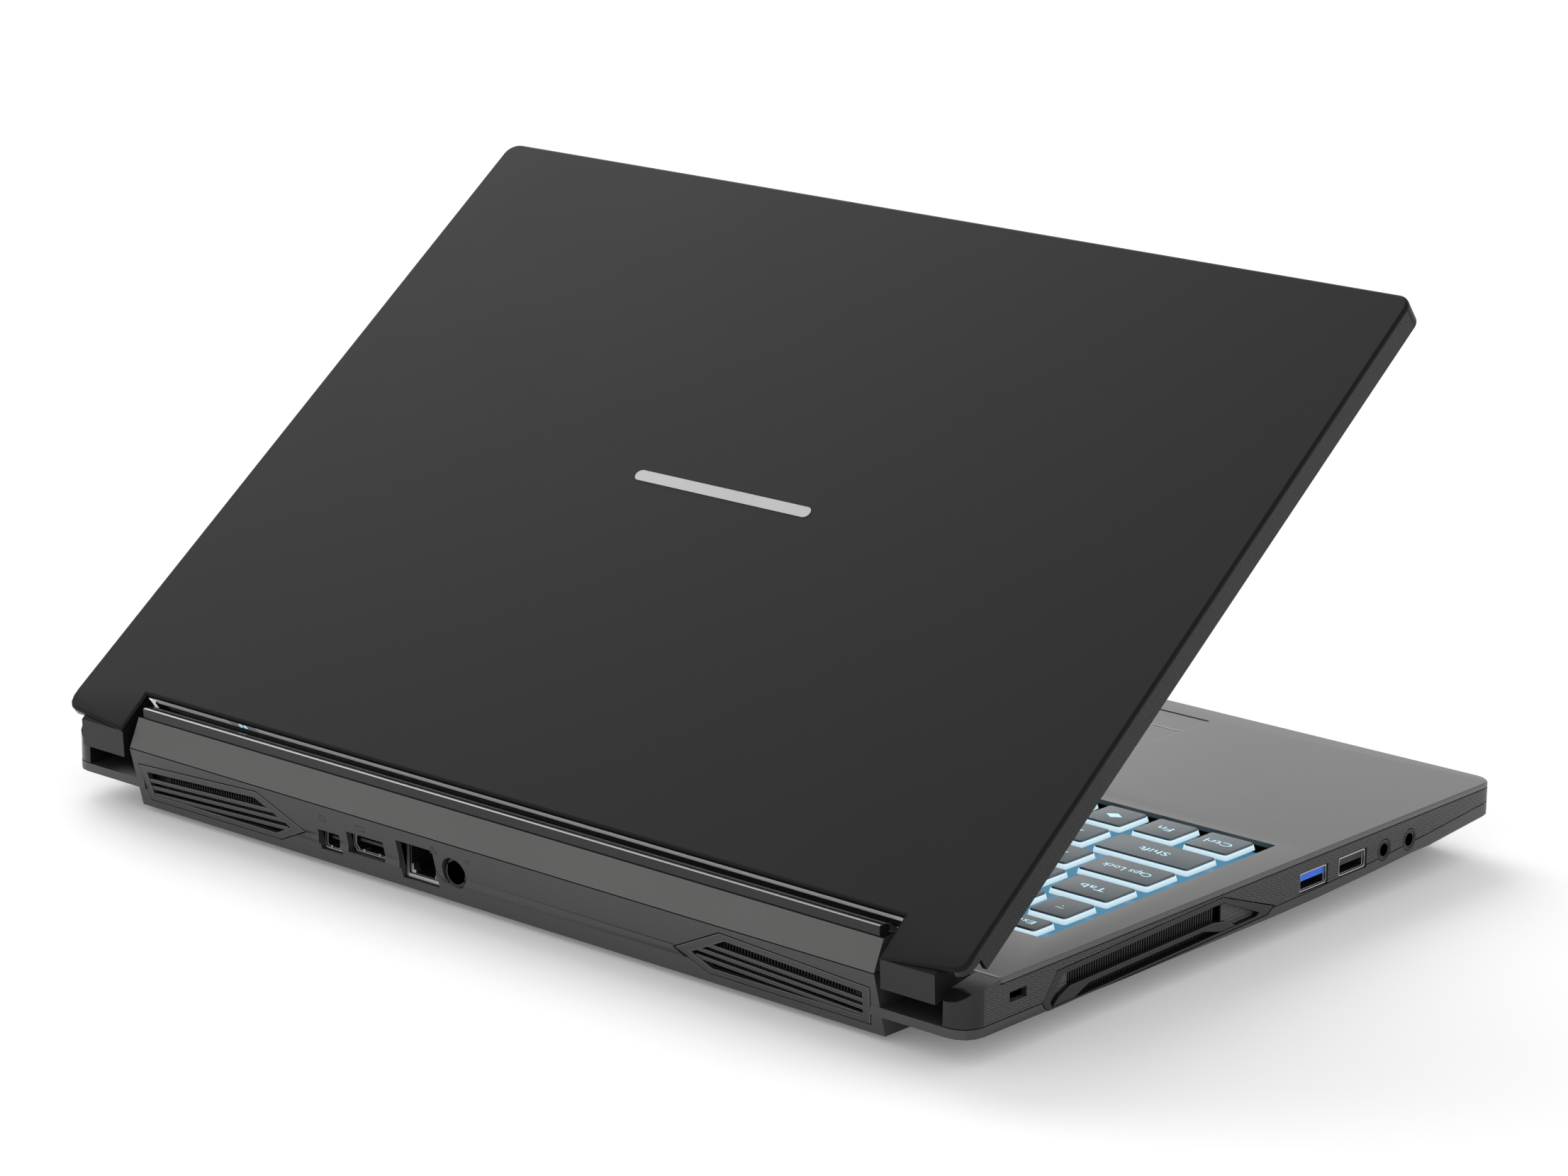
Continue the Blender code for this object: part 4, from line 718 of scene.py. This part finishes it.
def build_deck():
    sizes = bpy.context.scene.laptop_sizes
    lacquers = ("deck_lacquer", "bright_edge")
    bm = start_from("deck_panel")
    # Painted shade: the hood's upward-facing crest near the hinge takes the black gloss moulding,
    # standing in for the shade and dark reflection of the lid above it.
    for face in bm.faces:
        centre = face.calc_center_median()
        if centre.y > HINGE_Y - 0.0090 and centre.z > DECK_Z and face.normal.z > 0.45:
            face.material_index = 2
    finish_piece("deck", bm, (*lacquers, "gloss_moulding"), "base",
                 ("deck_panel",), sizes.deck_edge)
    build_spine()
    for name, body in (("touchpad", "base"), ("touchpad_button_left", "touchpad_left_button"),
                       ("touchpad_button_right", "touchpad_right_button")):
        finish_piece(name + "_plate", start_from(name), lacquers, body,
                     (name,), sizes.deck_edge, edge_material=1)


def build_spine():
    """The dark rounded rail along the top of the hood, concentric with the hinge axis."""
    section = arc((0, 0), SPINE_RADIUS, 78, 150, 10)
    section += [(-0.0056, 0.0030), (-0.0030, 0.0038), (0.0014, 0.0040)]
    reach = TAIL_HALF - 0.0018
    bm = bmesh.new()
    add_plate(bm, [(-reach, HINGE_Y + y, HINGE_Z + z) for y, z in section], (2 * reach, 0, 0))
    finish_piece("hood_spine", bm, ("gloss_moulding",), "base", edge=0.0002)


def build_casing():
    sizes = bpy.context.scene.laptop_sizes
    bm = start_from("side_frame")
    for face in bm.faces:
        centre = face.calc_center_median()
        if centre.y > HINGE_Y - CORNER_AHEAD and abs(centre.x) > TAIL_HALF:
            face.material_index = 2
        elif abs(face.normal.z) < 0.5:
            face.material_index = 1
    finish_piece("case_wall", bm, ("case_moulding", "case_side", "gloss_moulding"), "base",
                 ("side_frame",), sizes.shell_edge, 3)
    bm = start_from("bottom_cover")
    # Painted light: the tail's rear-facing faces take the lighter copy of the case moulding.
    for face in bm.faces:
        if face.normal.y > 0.7 and face.calc_center_median().y > HINGE_Y - 0.0020:
            face.material_index = 1
    finish_piece("case_bottom", bm, ("case_moulding", "lit_tail_moulding"), "base",
                 ("bottom_cover",))
    build_rear_icons()


def build_rear_icons():
    """Outlines of a screen, three linked boxes and a bar over a dashed bar."""
    bars = []
    for (x, z), half in ((ICON_SCREEN, 0.0011), (ICON_PICTURE, 0.0017)):
        bars += [(x, z + 0.0008, half, 0.00012), (x, z - 0.0008, half, 0.00012)]
        bars += [(x + side * half, z, 0.00012, 0.0008) for side in (-1, 1)]
    x, z = ICON_NETWORK
    bars += [(x, z + 0.0008, 0.0005, 0.0004), (x - 0.0009, z - 0.0009, 0.0005, 0.0004),
             (x + 0.0009, z - 0.0009, 0.0005, 0.0004), (x, z, 0.0012, 0.00010)]
    x, z = ICON_POWER
    bars += [(x, z, 0.0010, 0.00012)]
    bars += [(x + step * 0.0008, z - 0.0006, 0.0002, 0.00012) for step in (-1, 0, 1)]
    bm = bmesh.new()
    for x, z, half_x, half_z in bars:
        add_block(bm, (x - half_x, -0.0002, z - half_z), (x + half_x, 0.00003, z + half_z))
    for vert in bm.verts:
        vert.co.y += tail_face_y(vert.co.z)
    finish_piece("rear_icons", bm, ("port_plastic",), "base")


def tail_face_y(z):
    """How far back the tail's rear face stands at a height."""
    for (upper_y, upper_z), (lower_y, lower_z) in zip(TAIL_FACE, TAIL_FACE[1:]):
        if z >= lower_z:
            return lower_y + (upper_y - lower_y) * (z - lower_z) / (upper_z - lower_z)
    return TAIL_FACE[-1][0]


def lean_on_tail(bm, proud):
    """Bends a bmesh that was made upright at y = 0 onto the tail's rear face."""
    geometry = list(bm.verts) + list(bm.edges) + list(bm.faces)
    bmesh.ops.bisect_plane(bm, geom=geometry, dist=MERGE, plane_co=(0, 0, TAIL_CREASE_Z),
                           plane_no=(0, 0, 1))
    for vert in bm.verts:
        vert.co.y += tail_face_y(vert.co.z) + proud


def add_loop_ring(bm, outer, inner, travel, material=0):
    """A frame between two outlines with as many points, extruded along a vector."""
    loops = []
    for outline in (outer, inner):
        verts = [bm.verts.new(point) for point in outline]
        loops += [bm.edges.new((verts[i - 1], verts[i])) for i in range(len(verts))]
    faces = bmesh.ops.bridge_loops(bm, edges=loops)["faces"]
    made = bmesh.ops.extrude_face_region(bm, geom=faces, use_keep_orig=True)
    verts = [part for part in made["geom"] if isinstance(part, bmesh.types.BMVert)]
    bmesh.ops.translate(bm, verts=verts, vec=travel)
    for vert in verts:
        for face in vert.link_faces:
            face.material_index = material


def build_rear_vent(side, name):
    bm = bmesh.new()
    outlines = [[(side * (TAIL_HALF - inset), 0, z) for inset, z in outline]
                for outline in (REAR_FRAME, REAR_OPENING)]
    add_loop_ring(bm, *outlines, (0, -0.0020, 0))
    start = REAR_OPENING[0][0] - BAR_OVERLAP
    for z, end in REAR_BARS:
        outline = ((start, z), (end, z + BAR_RISE * (end - start)))
        points = [(side * (TAIL_HALF - inset), -0.0003, height) for inset, height in outline]
        points += [(x, y, height - BAR_HEIGHT) for x, y, height in reversed(points)]
        add_plate(bm, points, (0, -0.0016, 0))
    bmesh.ops.recalc_face_normals(bm, faces=bm.faces)
    lean_on_tail(bm, 0.0002)
    # The rear vent's frame takes the lighter moulding as painted sheen, and its rounded edges take
    # the painted highlight.
    finish_piece("rear_grille_" + name, bm, ("vent_sheen_moulding", "vent_edge_highlight"), "base",
                 ("rear_vent_" + name,), 0.00040, edge_material=1)


def build_fins(side, name):
    """Thin fins behind a rear vent."""
    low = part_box("fin_stack_" + name)[0]
    rear = tail_face_y(0.0060) - 0.0024
    pitch = bpy.context.scene.laptop_sizes.fin_pitch
    bm = bmesh.new()
    inset, last = REAR_FINS
    while inset < last:
        x = side * (TAIL_HALF - inset)
        add_block(bm, (x - FIN_THICK / 2, low.y, low.z), (x + FIN_THICK / 2, rear, FIN_TOP))
        inset += pitch
    finish_piece("fins_" + name, bm, ("fin_metal",), "base", ("fin_stack_" + name,),
                 solid=False)


def add_behind_side(bm, side, depths, low, high, material=0):
    """A block between two depths behind the casing's side and two corners as (y, z)."""
    edges = sorted(side * (HALF - depth) for depth in depths)
    add_block(bm, (edges[0], *low), (edges[1], *high), material)


def build_side_vent(side, name):
    pitch = bpy.context.scene.laptop_sizes.fin_pitch
    bm = bmesh.new()
    outlines = [[(side * HALF, y, z) for y, z in outline]
                for outline in (SIDE_FRAME_LINE, SIDE_OPENING)]
    add_loop_ring(bm, *outlines, (-side * 0.0036, 0, 0))
    add_plate(bm, [(side * (HALF - 0.0003), y, z) for y, z in SIDE_RIB], (-side * 0.0024, 0, 0))
    bmesh.ops.recalc_face_normals(bm, faces=bm.faces)
    finish_piece("side_grille_" + name, bm, ("gloss_moulding",), "base",
                 ("side_vent_" + name,), 0.0008, 4)
    bm = bmesh.new()
    y, last = SIDE_FINS
    while y < last:
        add_behind_side(bm, side, (0.0026, 0.0052), (y, 0.0090), (y + FIN_THICK, 0.0188))
        y += pitch
    # Painted shade: a black sheet behind the fins stands in for the vent's dark depth.
    add_behind_side(bm, side, (0.0052, 0.0058), (-0.0080, 0.0080), (0.0900, 0.0190), 1)
    for start, end in SIDE_MESH:
        add_behind_side(bm, side, (0.0018, 0.0024), (start, 0.0085), (end, 0.0176), 2)
    finish_piece("side_fins_" + name, bm, ("pack_wrap_and_shade", "port_plastic", "vent_mesh"), "base",
                 solid=False)


def build_vents():
    for side, name in ((-1, "left"), (1, "right")):
        build_rear_vent(side, name)
        build_fins(side, name)
        build_side_vent(side, name)


# Sockets, each made facing +Z with its middle at the origin -------------------------------------

def box_outline(width, height, cut=0.0, top_cut=0.0):
    """A rectangle whose lower corners, and whose upper ones if asked, are cut off."""
    x, y = width / 2, height / 2
    return ((-x + top_cut, y), (x - top_cut, y), (x, y - top_cut), (x, -y + cut),
            (x - cut, -y), (-x + cut, -y), (-x, -y + cut), (-x, y - top_cut))


def add_mouth(bm, outline, wall, depth, material, lining):
    """A thin shell round a dark opening, closed at the back."""
    shrink = [1 - wall / max(abs(point[i]) for point in outline) for i in (0, 1)]
    inner = [(x * shrink[0], y * shrink[1]) for x, y in outline]
    add_loop_ring(bm, [(x, y, 0) for x, y in outline], [(x, y, 0) for x, y in inner],
                  (0, 0, -0.0012), material)
    deeper = [(x * 0.97, y * 0.97) for x, y in inner]
    add_loop_ring(bm, [(x, y, -0.0008) for x, y in inner], [(x, y, -0.0008) for x, y in deeper],
                  (0, 0, -depth), lining)
    add_plate(bm, [(x, y, -depth) for x, y in inner], (0, 0, -0.0006), lining)


def add_usb(bm, tongue):
    """Materials: 0 steel, 1 black, 2 the tongue's."""
    add_mouth(bm, box_outline(*USB_MOUTH, 0.0004, 0.0004), SHELL_STEEL, 0.0085, 0, 1)
    add_block(bm, (-0.0058, 0.0002, -0.0084), (0.0058, 0.0020, -0.0006), tongue)
    for i in range(4):
        x = -0.0036 + i * USB_CONTACT_PITCH
        add_block(bm, (x - 0.0005, 0.0001, -0.0080), (x + 0.0005, 0.0002, -0.0014), 0)


def add_display(bm, width, height, cut):
    add_mouth(bm, box_outline(width, height, cut, 0.0002), SHELL_STEEL, 0.0080, 0, 1)
    half = width / 2 - 0.0022
    add_block(bm, (-half, 0.0000, -0.0078), (half, 0.0009, -0.0010), 1)
    for side in (-1, 1):
        x = side * width * 0.22
        add_block(bm, (x - 0.0004, -height / 2 + 0.0004, -0.0030),
                  (x + 0.0004, -height / 2 + 0.0009, -0.0004), 0)


def add_network(bm):
    add_mouth(bm, box_outline(*NETWORK_MOUTH), 0.0011, 0.0100, 1, 1)
    for side in (-1, 1):
        edges = sorted((side * 0.0061, side * 0.0040))
        add_block(bm, (edges[0], -0.0047, -0.0030), (edges[1], -0.0036, -0.0006), 0)
        edges = sorted((side * 0.0061, side * 0.0050))
        add_block(bm, (edges[0], -0.0036, -0.0030), (edges[1], -0.0018, -0.0006), 0)
    for i in range(8):
        x = (i - 3.5) * NETWORK_CONTACT_PITCH
        add_block(bm, (x - 0.0002, 0.0030, -0.0090), (x + 0.0002, 0.0034, -0.0030), 2)


def add_jack(bm, radius):
    add_ring(bm, (0, 0, -0.0004), radius, radius - 0.0003, 0.0012, "Z", material=0)
    add_ring(bm, (0, 0, -0.0005), radius - 0.0003, radius - 0.0008, 0.0010, "Z", material=1)
    add_ring(bm, (0, 0, -0.0006), radius - 0.0008, 0.0020, 0.0014, "Z", material=2)
    add_ring(bm, (0, 0, -0.0040), 0.0021, 0.0018, 0.0080, "Z", material=1)
    add_ring(bm, (0, 0, -0.0078), 0.0019, 0.0001, 0.0004, "Z", material=1)


def add_inlet(bm, radius):
    add_ring(bm, (0, 0, -0.0006), radius, radius - 0.0010, 0.0016, "Z", material=1)
    add_ring(bm, (0, 0, -0.0040), radius - 0.0010, radius - 0.0013, 0.0080, "Z", material=0)
    add_ring(bm, (0, 0, -0.0080), radius - 0.0010, 0.0002, 0.0006, "Z", material=1)
    add_ring(bm, (0, 0, -0.0045), 0.0008, 0.0001, 0.0060, "Z", sides=16, material=0)


def finish_socket(name, bm, node, facing, materials, out=0.0):
    """Puts a socket where its frame node is, flush with the node's outer face."""
    low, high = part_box(node)
    place = (low + high) / 2
    if facing == "rear":
        place.y = high.y
    else:
        place.x = low.x if facing == "left" else high.x
    bmesh.ops.recalc_face_normals(bm, faces=bm.faces)
    matrix = Matrix.Translation(place) @ FACINGS[facing].to_4x4()
    bmesh.ops.transform(bm, matrix=matrix @ Matrix.Translation((0, 0, out)), verts=bm.verts)
    finish_piece(name, bm, materials, "base", (node,), solid=False)


def node_radius(node):
    low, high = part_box(node)
    return (high.z - low.z) / 2


def build_sockets():
    for node, facing, tongue in (("usb_socket_blue", "left", "port_blue"),
                                 ("usb_socket_black", "left", "port_plastic"),
                                 ("usb_socket_right", "right", "port_plastic")):
        bm = bmesh.new()
        add_usb(bm, 2)
        finish_socket(node + "_shell", bm, node, facing, ("socket_steel", "port_plastic", tongue))
    for node, width, height, cut in (("mini_display_socket", 0.0086, 0.0060, 0.0008),
                                     ("display_socket", 0.0150, 0.0060, 0.0016)):
        bm = bmesh.new()
        add_display(bm, width, height, cut)
        finish_socket(node + "_shell", bm, node, "rear", ("socket_steel", "port_plastic"))
    bm = bmesh.new()
    add_network(bm)
    finish_socket("network_socket_shell", bm, "network_socket", "rear",
                  ("socket_steel", "port_plastic", "contact_gold"))
    for node in ("microphone_jack", "headphone_jack"):
        bm = bmesh.new()
        add_jack(bm, node_radius(node))
        finish_socket(node + "_ring", bm, node, "left",
                      ("fin_metal", "port_plastic", "gloss_moulding"))
    bm = bmesh.new()
    add_inlet(bm, node_radius("power_inlet"))
    finish_socket("power_inlet_ring", bm, "power_inlet", "rear",
                  ("socket_steel", "gloss_moulding"))


def key_spans(second):
    """Left and right edges of one row's keys, with the numeric keys last."""
    left_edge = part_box("keys_shift_row")[0].x
    right_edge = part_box("keys_shift_row")[1].x
    numpad = right_edge - NUMPAD_COLUMNS * NUMPAD_PITCH + NUMPAD_KEY_GAP
    main_right = numpad - NUMPAD_GAP
    spans = [(left_edge, left_edge + second - KEY_GAP)]
    left = left_edge + second
    while left + 2 * KEY_PITCH - KEY_GAP < main_right:
        spans.append((left, left + KEY_PITCH - KEY_GAP))
        left += KEY_PITCH
    spans.append((left, main_right))
    for column in range(NUMPAD_COLUMNS):
        left = numpad + column * NUMPAD_PITCH
        spans.append((left, left + NUMPAD_PITCH - NUMPAD_KEY_GAP))
    return spans


def add_keycap(bm, low, high, corner, taper, material):
    """A block with rounded corners whose top is smaller than its foot."""
    verts = add_block(bm, low, high, material)
    upright = {edge for vert in verts for edge in vert.link_edges
               if abs(edge.verts[0].co.z - edge.verts[1].co.z) > (high[2] - low[2]) / 2}
    made = bmesh.ops.bevel(bm, geom=list(upright), offset=corner, offset_type="OFFSET",
                           segments=3, profile=0.5, affect="EDGES", material=-1)
    cap = {vert for face in made["faces"] for vert in face.verts}
    centre = (Vector(low) + Vector(high)) / 2
    half = (Vector(high) - Vector(low)) / 2
    for vert in cap:
        if vert.co.z > centre.z:
            vert.co.x = centre.x + (vert.co.x - centre.x) * (1 - taper / half.x)
            vert.co.y = centre.y + (vert.co.y - centre.y) * (1 - taper / half.y)
    return cap


def add_legend(bm, text, place, size, width):
    """A legend's letters as a thin solid, laid flat with its middle at a place."""
    curve = bpy.data.curves.new("legend", "FONT")
    curve.body = text
    curve.size = size
    curve.align_x = "CENTER"
    curve.align_y = "CENTER"
    curve.resolution_u = 2
    curve.extrude = 0.00002
    curve.space_line = 0.85
    letters = bpy.data.objects.new("legend", curve)
    bpy.context.scene.collection.objects.link(letters)
    shapes = bpy.context.evaluated_depsgraph_get()
    mesh = bpy.data.meshes.new_from_object(letters.evaluated_get(shapes))
    wide = max((vert.co.x for vert in mesh.vertices), default=0.0) * 2
    squeeze = min(1.45, width / wide) if wide else 1.0
    mesh.transform(Matrix.Translation(place) @ Matrix.Diagonal((squeeze, 1.0, 1.0, 1.0)))
    for polygon in mesh.polygons:
        polygon.material_index = 2
    bm.from_mesh(mesh)
    bpy.data.objects.remove(letters)
    bpy.data.meshes.remove(mesh)


def build_key_row(node, body, second, first, legends):
    sizes = bpy.context.scene.laptop_sizes
    low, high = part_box(node)
    spans = key_spans(second)[first:first + len(legends)]
    if node == "space_bar":
        spans = [(low.x, high.x)]
    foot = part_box("space_bar")[0].z
    under = high.z - sizes.key_top
    bm = bmesh.new()
    for (left, right), legend in zip(spans, legends):
        add_keycap(bm, (left, low.y, foot), (right, high.y, under), sizes.key_corner,
                   sizes.key_taper * 0.7, 1)
        step = sizes.key_taper * 0.85
        top = add_keycap(bm, (left + step, low.y + step, under),
                         (right - step, high.y - step, high.z), sizes.key_corner,
                         sizes.key_taper * 0.3, 0)
        rim = {edge for vert in top for edge in vert.link_edges
               if all(end.co.z > high.z - MERGE for end in edge.verts)}
        bmesh.ops.bevel(bm, geom=list(rim), offset=0.00018, offset_type="OFFSET", segments=2,
                        profile=0.5, affect="EDGES", material=-1)
        if legend:
            lines = legend.count("\n") + 1
            size = sizes.legend_size * (1.0 if lines == 1 else 0.8)
            if node == "keys_function_row":
                size *= 0.85
            add_legend(bm, legend, ((left + right) / 2, (low.y + high.y) / 2, high.z + 0.00002),
                       size, (right - left) * 0.68)
    finish_piece(node + "_caps", bm, ("key_paint", "key_light", "legend_light"), body,
                 (node,), solid=False)


def build_keyboard():
    for row in KEY_ROWS:
        build_key_row(*row)
    paint_node("backlight_sheet", "guide_light")
    paint_node("keyboard_plate", "port_plastic")


def build_inside():
    for material, nodes in PLAIN_FINISHES.items():
        for node in nodes:
            paint_node(node, material)


# Stage ----------------------------------------------------------------------------------------

def build_camera():
    stage = bpy.context.scene.laptop_stage
    data = bpy.data.cameras.new("camera")
    data.lens = stage.lens
    data.sensor_width = 36.0
    data.clip_start = 0.01
    data.clip_end = 100.0
    camera = bpy.data.objects.new("camera", data)
    bpy.context.scene.collection.objects.link(camera)
    turn, height = stage.azimuth, stage.elevation
    back = Vector((math.sin(turn) * math.cos(height), -math.cos(turn) * math.cos(height),
                   math.sin(height)))
    right = Vector((0, 0, 1)).cross(back).normalized()
    up = back.cross(right)
    place = Matrix((right, up, back)).transposed() @ Matrix.Rotation(stage.roll, 3, "Z")
    camera.matrix_world = Matrix.Translation(stage.place) @ place.to_4x4()
    bpy.context.scene.camera = camera


def add_softbox(name, place, target, size, power):
    data = bpy.data.lights.new(name, "AREA")
    data.shape = "RECTANGLE"
    data.size, data.size_y = size
    data.energy = power
    light = bpy.data.objects.new(name, data)
    light.location = place
    aim = Vector(target) - Vector(place)
    light.rotation_euler = aim.to_track_quat("-Z", "Y").to_euler()
    bpy.context.scene.collection.objects.link(light)


def build_stage():
    stage = bpy.context.scene.laptop_stage
    floor_material = base_material("floor_paper", (0.90, 0.90, 0.90), 0.9, mottle=0.004)
    paper = shader_of(floor_material)
    paper.inputs["Emission Color"].default_value = (1.0, 1.0, 1.0, 1.0)
    paper.inputs["Emission Strength"].default_value = stage.paper_glow
    bm = bmesh.new()
    bmesh.ops.create_grid(bm, x_segments=1, y_segments=1, size=FLOOR_HALF)
    mesh = bpy.data.meshes.new("floor")
    bm.to_mesh(mesh)
    bm.free()
    mesh.materials.append(floor_material)
    floor = bpy.data.objects.new("floor", mesh)
    bpy.context.scene.collection.objects.link(floor)

    world = bpy.data.worlds.new("room")
    bpy.context.scene.world = world
    world.use_nodes = True
    sky = world.node_tree.nodes["Background"]
    direction = add_node(world, "ShaderNodeTexCoord").outputs["Generated"]
    height = add_node(world, "ShaderNodeSeparateXYZ", {"Vector": direction})
    ramp = add_node(world, "ShaderNodeValToRGB", {"Fac": height.outputs["Z"]})
    ramp.color_ramp.elements[0].color = (1.0, 1.0, 1.0, 1.0)
    ramp.color_ramp.elements[1].color = (*[stage.zenith] * 3, 1.0)
    for position, level in SKY_LEVELS:
        ramp.color_ramp.elements.new(position).color = (level, level, level, 1.0)
    toward = add_node(world, "ShaderNodeVectorMath",
                      {0: direction, 1: Vector(GLOW_DIRECTION).normalized()},
                      operation="DOT_PRODUCT")
    glow = add_node(world, "ShaderNodeMapRange", {"Value": toward.outputs["Value"],
                                                  "From Min": GLOW_EDGE[0],
                                                  "From Max": GLOW_EDGE[1],
                                                  "To Max": stage.glow})
    total = add_node(world, "ShaderNodeVectorMath", {0: ramp.outputs["Color"],
                                                     1: glow.outputs["Result"]},
                     operation="ADD")
    connect(world, total.outputs["Vector"], sky.inputs["Color"])
    sky.inputs["Strength"].default_value = stage.room
    add_softbox("top_box", SOFTBOX_PLACE, SOFTBOX_TARGET, SOFTBOX_SIZE, stage.key_light)
    bpy.context.scene.view_settings.view_transform = "Standard"


# Operators ------------------------------------------------------------------------------------

class LAPTOP_OT_materials(bpy.types.Operator):
    """Make the lacquers, mouldings, metals and lights"""
    bl_idname = "laptop.materials"
    bl_label = "Materials"

    def execute(self, context):
        make_materials()
        return {"FINISHED"}


class LAPTOP_OT_lid(bpy.types.Operator):
    """Build the lid's shell, the screen's surround and the screen"""
    bl_idname = "laptop.lid"
    bl_label = "Lid and screen"

    def execute(self, context):
        build_lid()
        return {"FINISHED"}


class LAPTOP_OT_trim(bpy.types.Operator):
    """Build the bright strip along the lid"""
    bl_idname = "laptop.trim"
    bl_label = "Lid trim"

    def execute(self, context):
        build_trim()
        return {"FINISHED"}


class LAPTOP_OT_deck(bpy.types.Operator):
    """Build the deck, the hood and the touchpad"""
    bl_idname = "laptop.deck"
    bl_label = "Deck and touchpad"

    def execute(self, context):
        build_deck()
        return {"FINISHED"}


class LAPTOP_OT_casing(bpy.types.Operator):
    """Build the side wall and the bottom"""
    bl_idname = "laptop.casing"
    bl_label = "Casing"

    def execute(self, context):
        build_casing()
        return {"FINISHED"}


class LAPTOP_OT_vents(bpy.types.Operator):
    """Build the vents at the sides and the rear"""
    bl_idname = "laptop.vents"
    bl_label = "Vents"

    def execute(self, context):
        build_vents()
        return {"FINISHED"}


class LAPTOP_OT_sockets(bpy.types.Operator):
    """Build the sockets, the jacks and the power inlet"""
    bl_idname = "laptop.sockets"
    bl_label = "Sockets"

    def execute(self, context):
        build_sockets()
        return {"FINISHED"}


class LAPTOP_OT_keyboard(bpy.types.Operator):
    """Build the lit keycaps and their light guide"""
    bl_idname = "laptop.keyboard"
    bl_label = "Keyboard"

    def execute(self, context):
        build_keyboard()
        return {"FINISHED"}


class LAPTOP_OT_inside(bpy.types.Operator):
    """Give the feet, the screws and the inner parts their finishes"""
    bl_idname = "laptop.inside"
    bl_label = "Feet and inner parts"

    def execute(self, context):
        build_inside()
        return {"FINISHED"}


class LAPTOP_OT_stage(bpy.types.Operator):
    """Set up the floor, the lights and the camera"""
    bl_idname = "laptop.stage"
    bl_label = "Stage"

    def execute(self, context):
        build_stage()
        build_camera()
        return {"FINISHED"}


STEPS = (LAPTOP_OT_materials, LAPTOP_OT_stage, LAPTOP_OT_lid, LAPTOP_OT_trim, LAPTOP_OT_deck,
         LAPTOP_OT_casing, LAPTOP_OT_vents, LAPTOP_OT_sockets, LAPTOP_OT_keyboard, LAPTOP_OT_inside)


class LAPTOP_PT_panel(bpy.types.Panel):
    """Steps that build the laptop's looks, with their sizes and colours"""
    bl_idname = "LAPTOP_PT_panel"
    bl_label = "Laptop Computer"
    bl_space_type = "VIEW_3D"
    bl_region_type = "UI"
    bl_category = "Laptop"

    def draw(self, context):
        for step in STEPS:
            self.layout.operator(step.bl_idname)
        for group in (context.scene.laptop_finishes, context.scene.laptop_sizes,
                      context.scene.laptop_stage):
            box = self.layout.box()
            for key in group.bl_rna.properties.keys():
                if key not in ("rna_type", "name"):
                    box.prop(group, key)


GROUPS = {"laptop_finishes": LaptopFinishes, "laptop_sizes": LaptopSizes,
          "laptop_stage": LaptopStage}
CLASSES = (*GROUPS.values(), *STEPS, LAPTOP_PT_panel)


def register():
    for item in CLASSES:
        bpy.utils.register_class(item)
    for key, group in GROUPS.items():
        setattr(bpy.types.Scene, key, PointerProperty(type=group))


def unregister():
    for key in GROUPS:
        delattr(bpy.types.Scene, key)
    for item in reversed(CLASSES):
        bpy.utils.unregister_class(item)


def main():
    register()
    for step in STEPS:
        family, name = step.bl_idname.split(".")
        getattr(getattr(bpy.ops, family), name)()


if __name__ == "__main__":
    main()
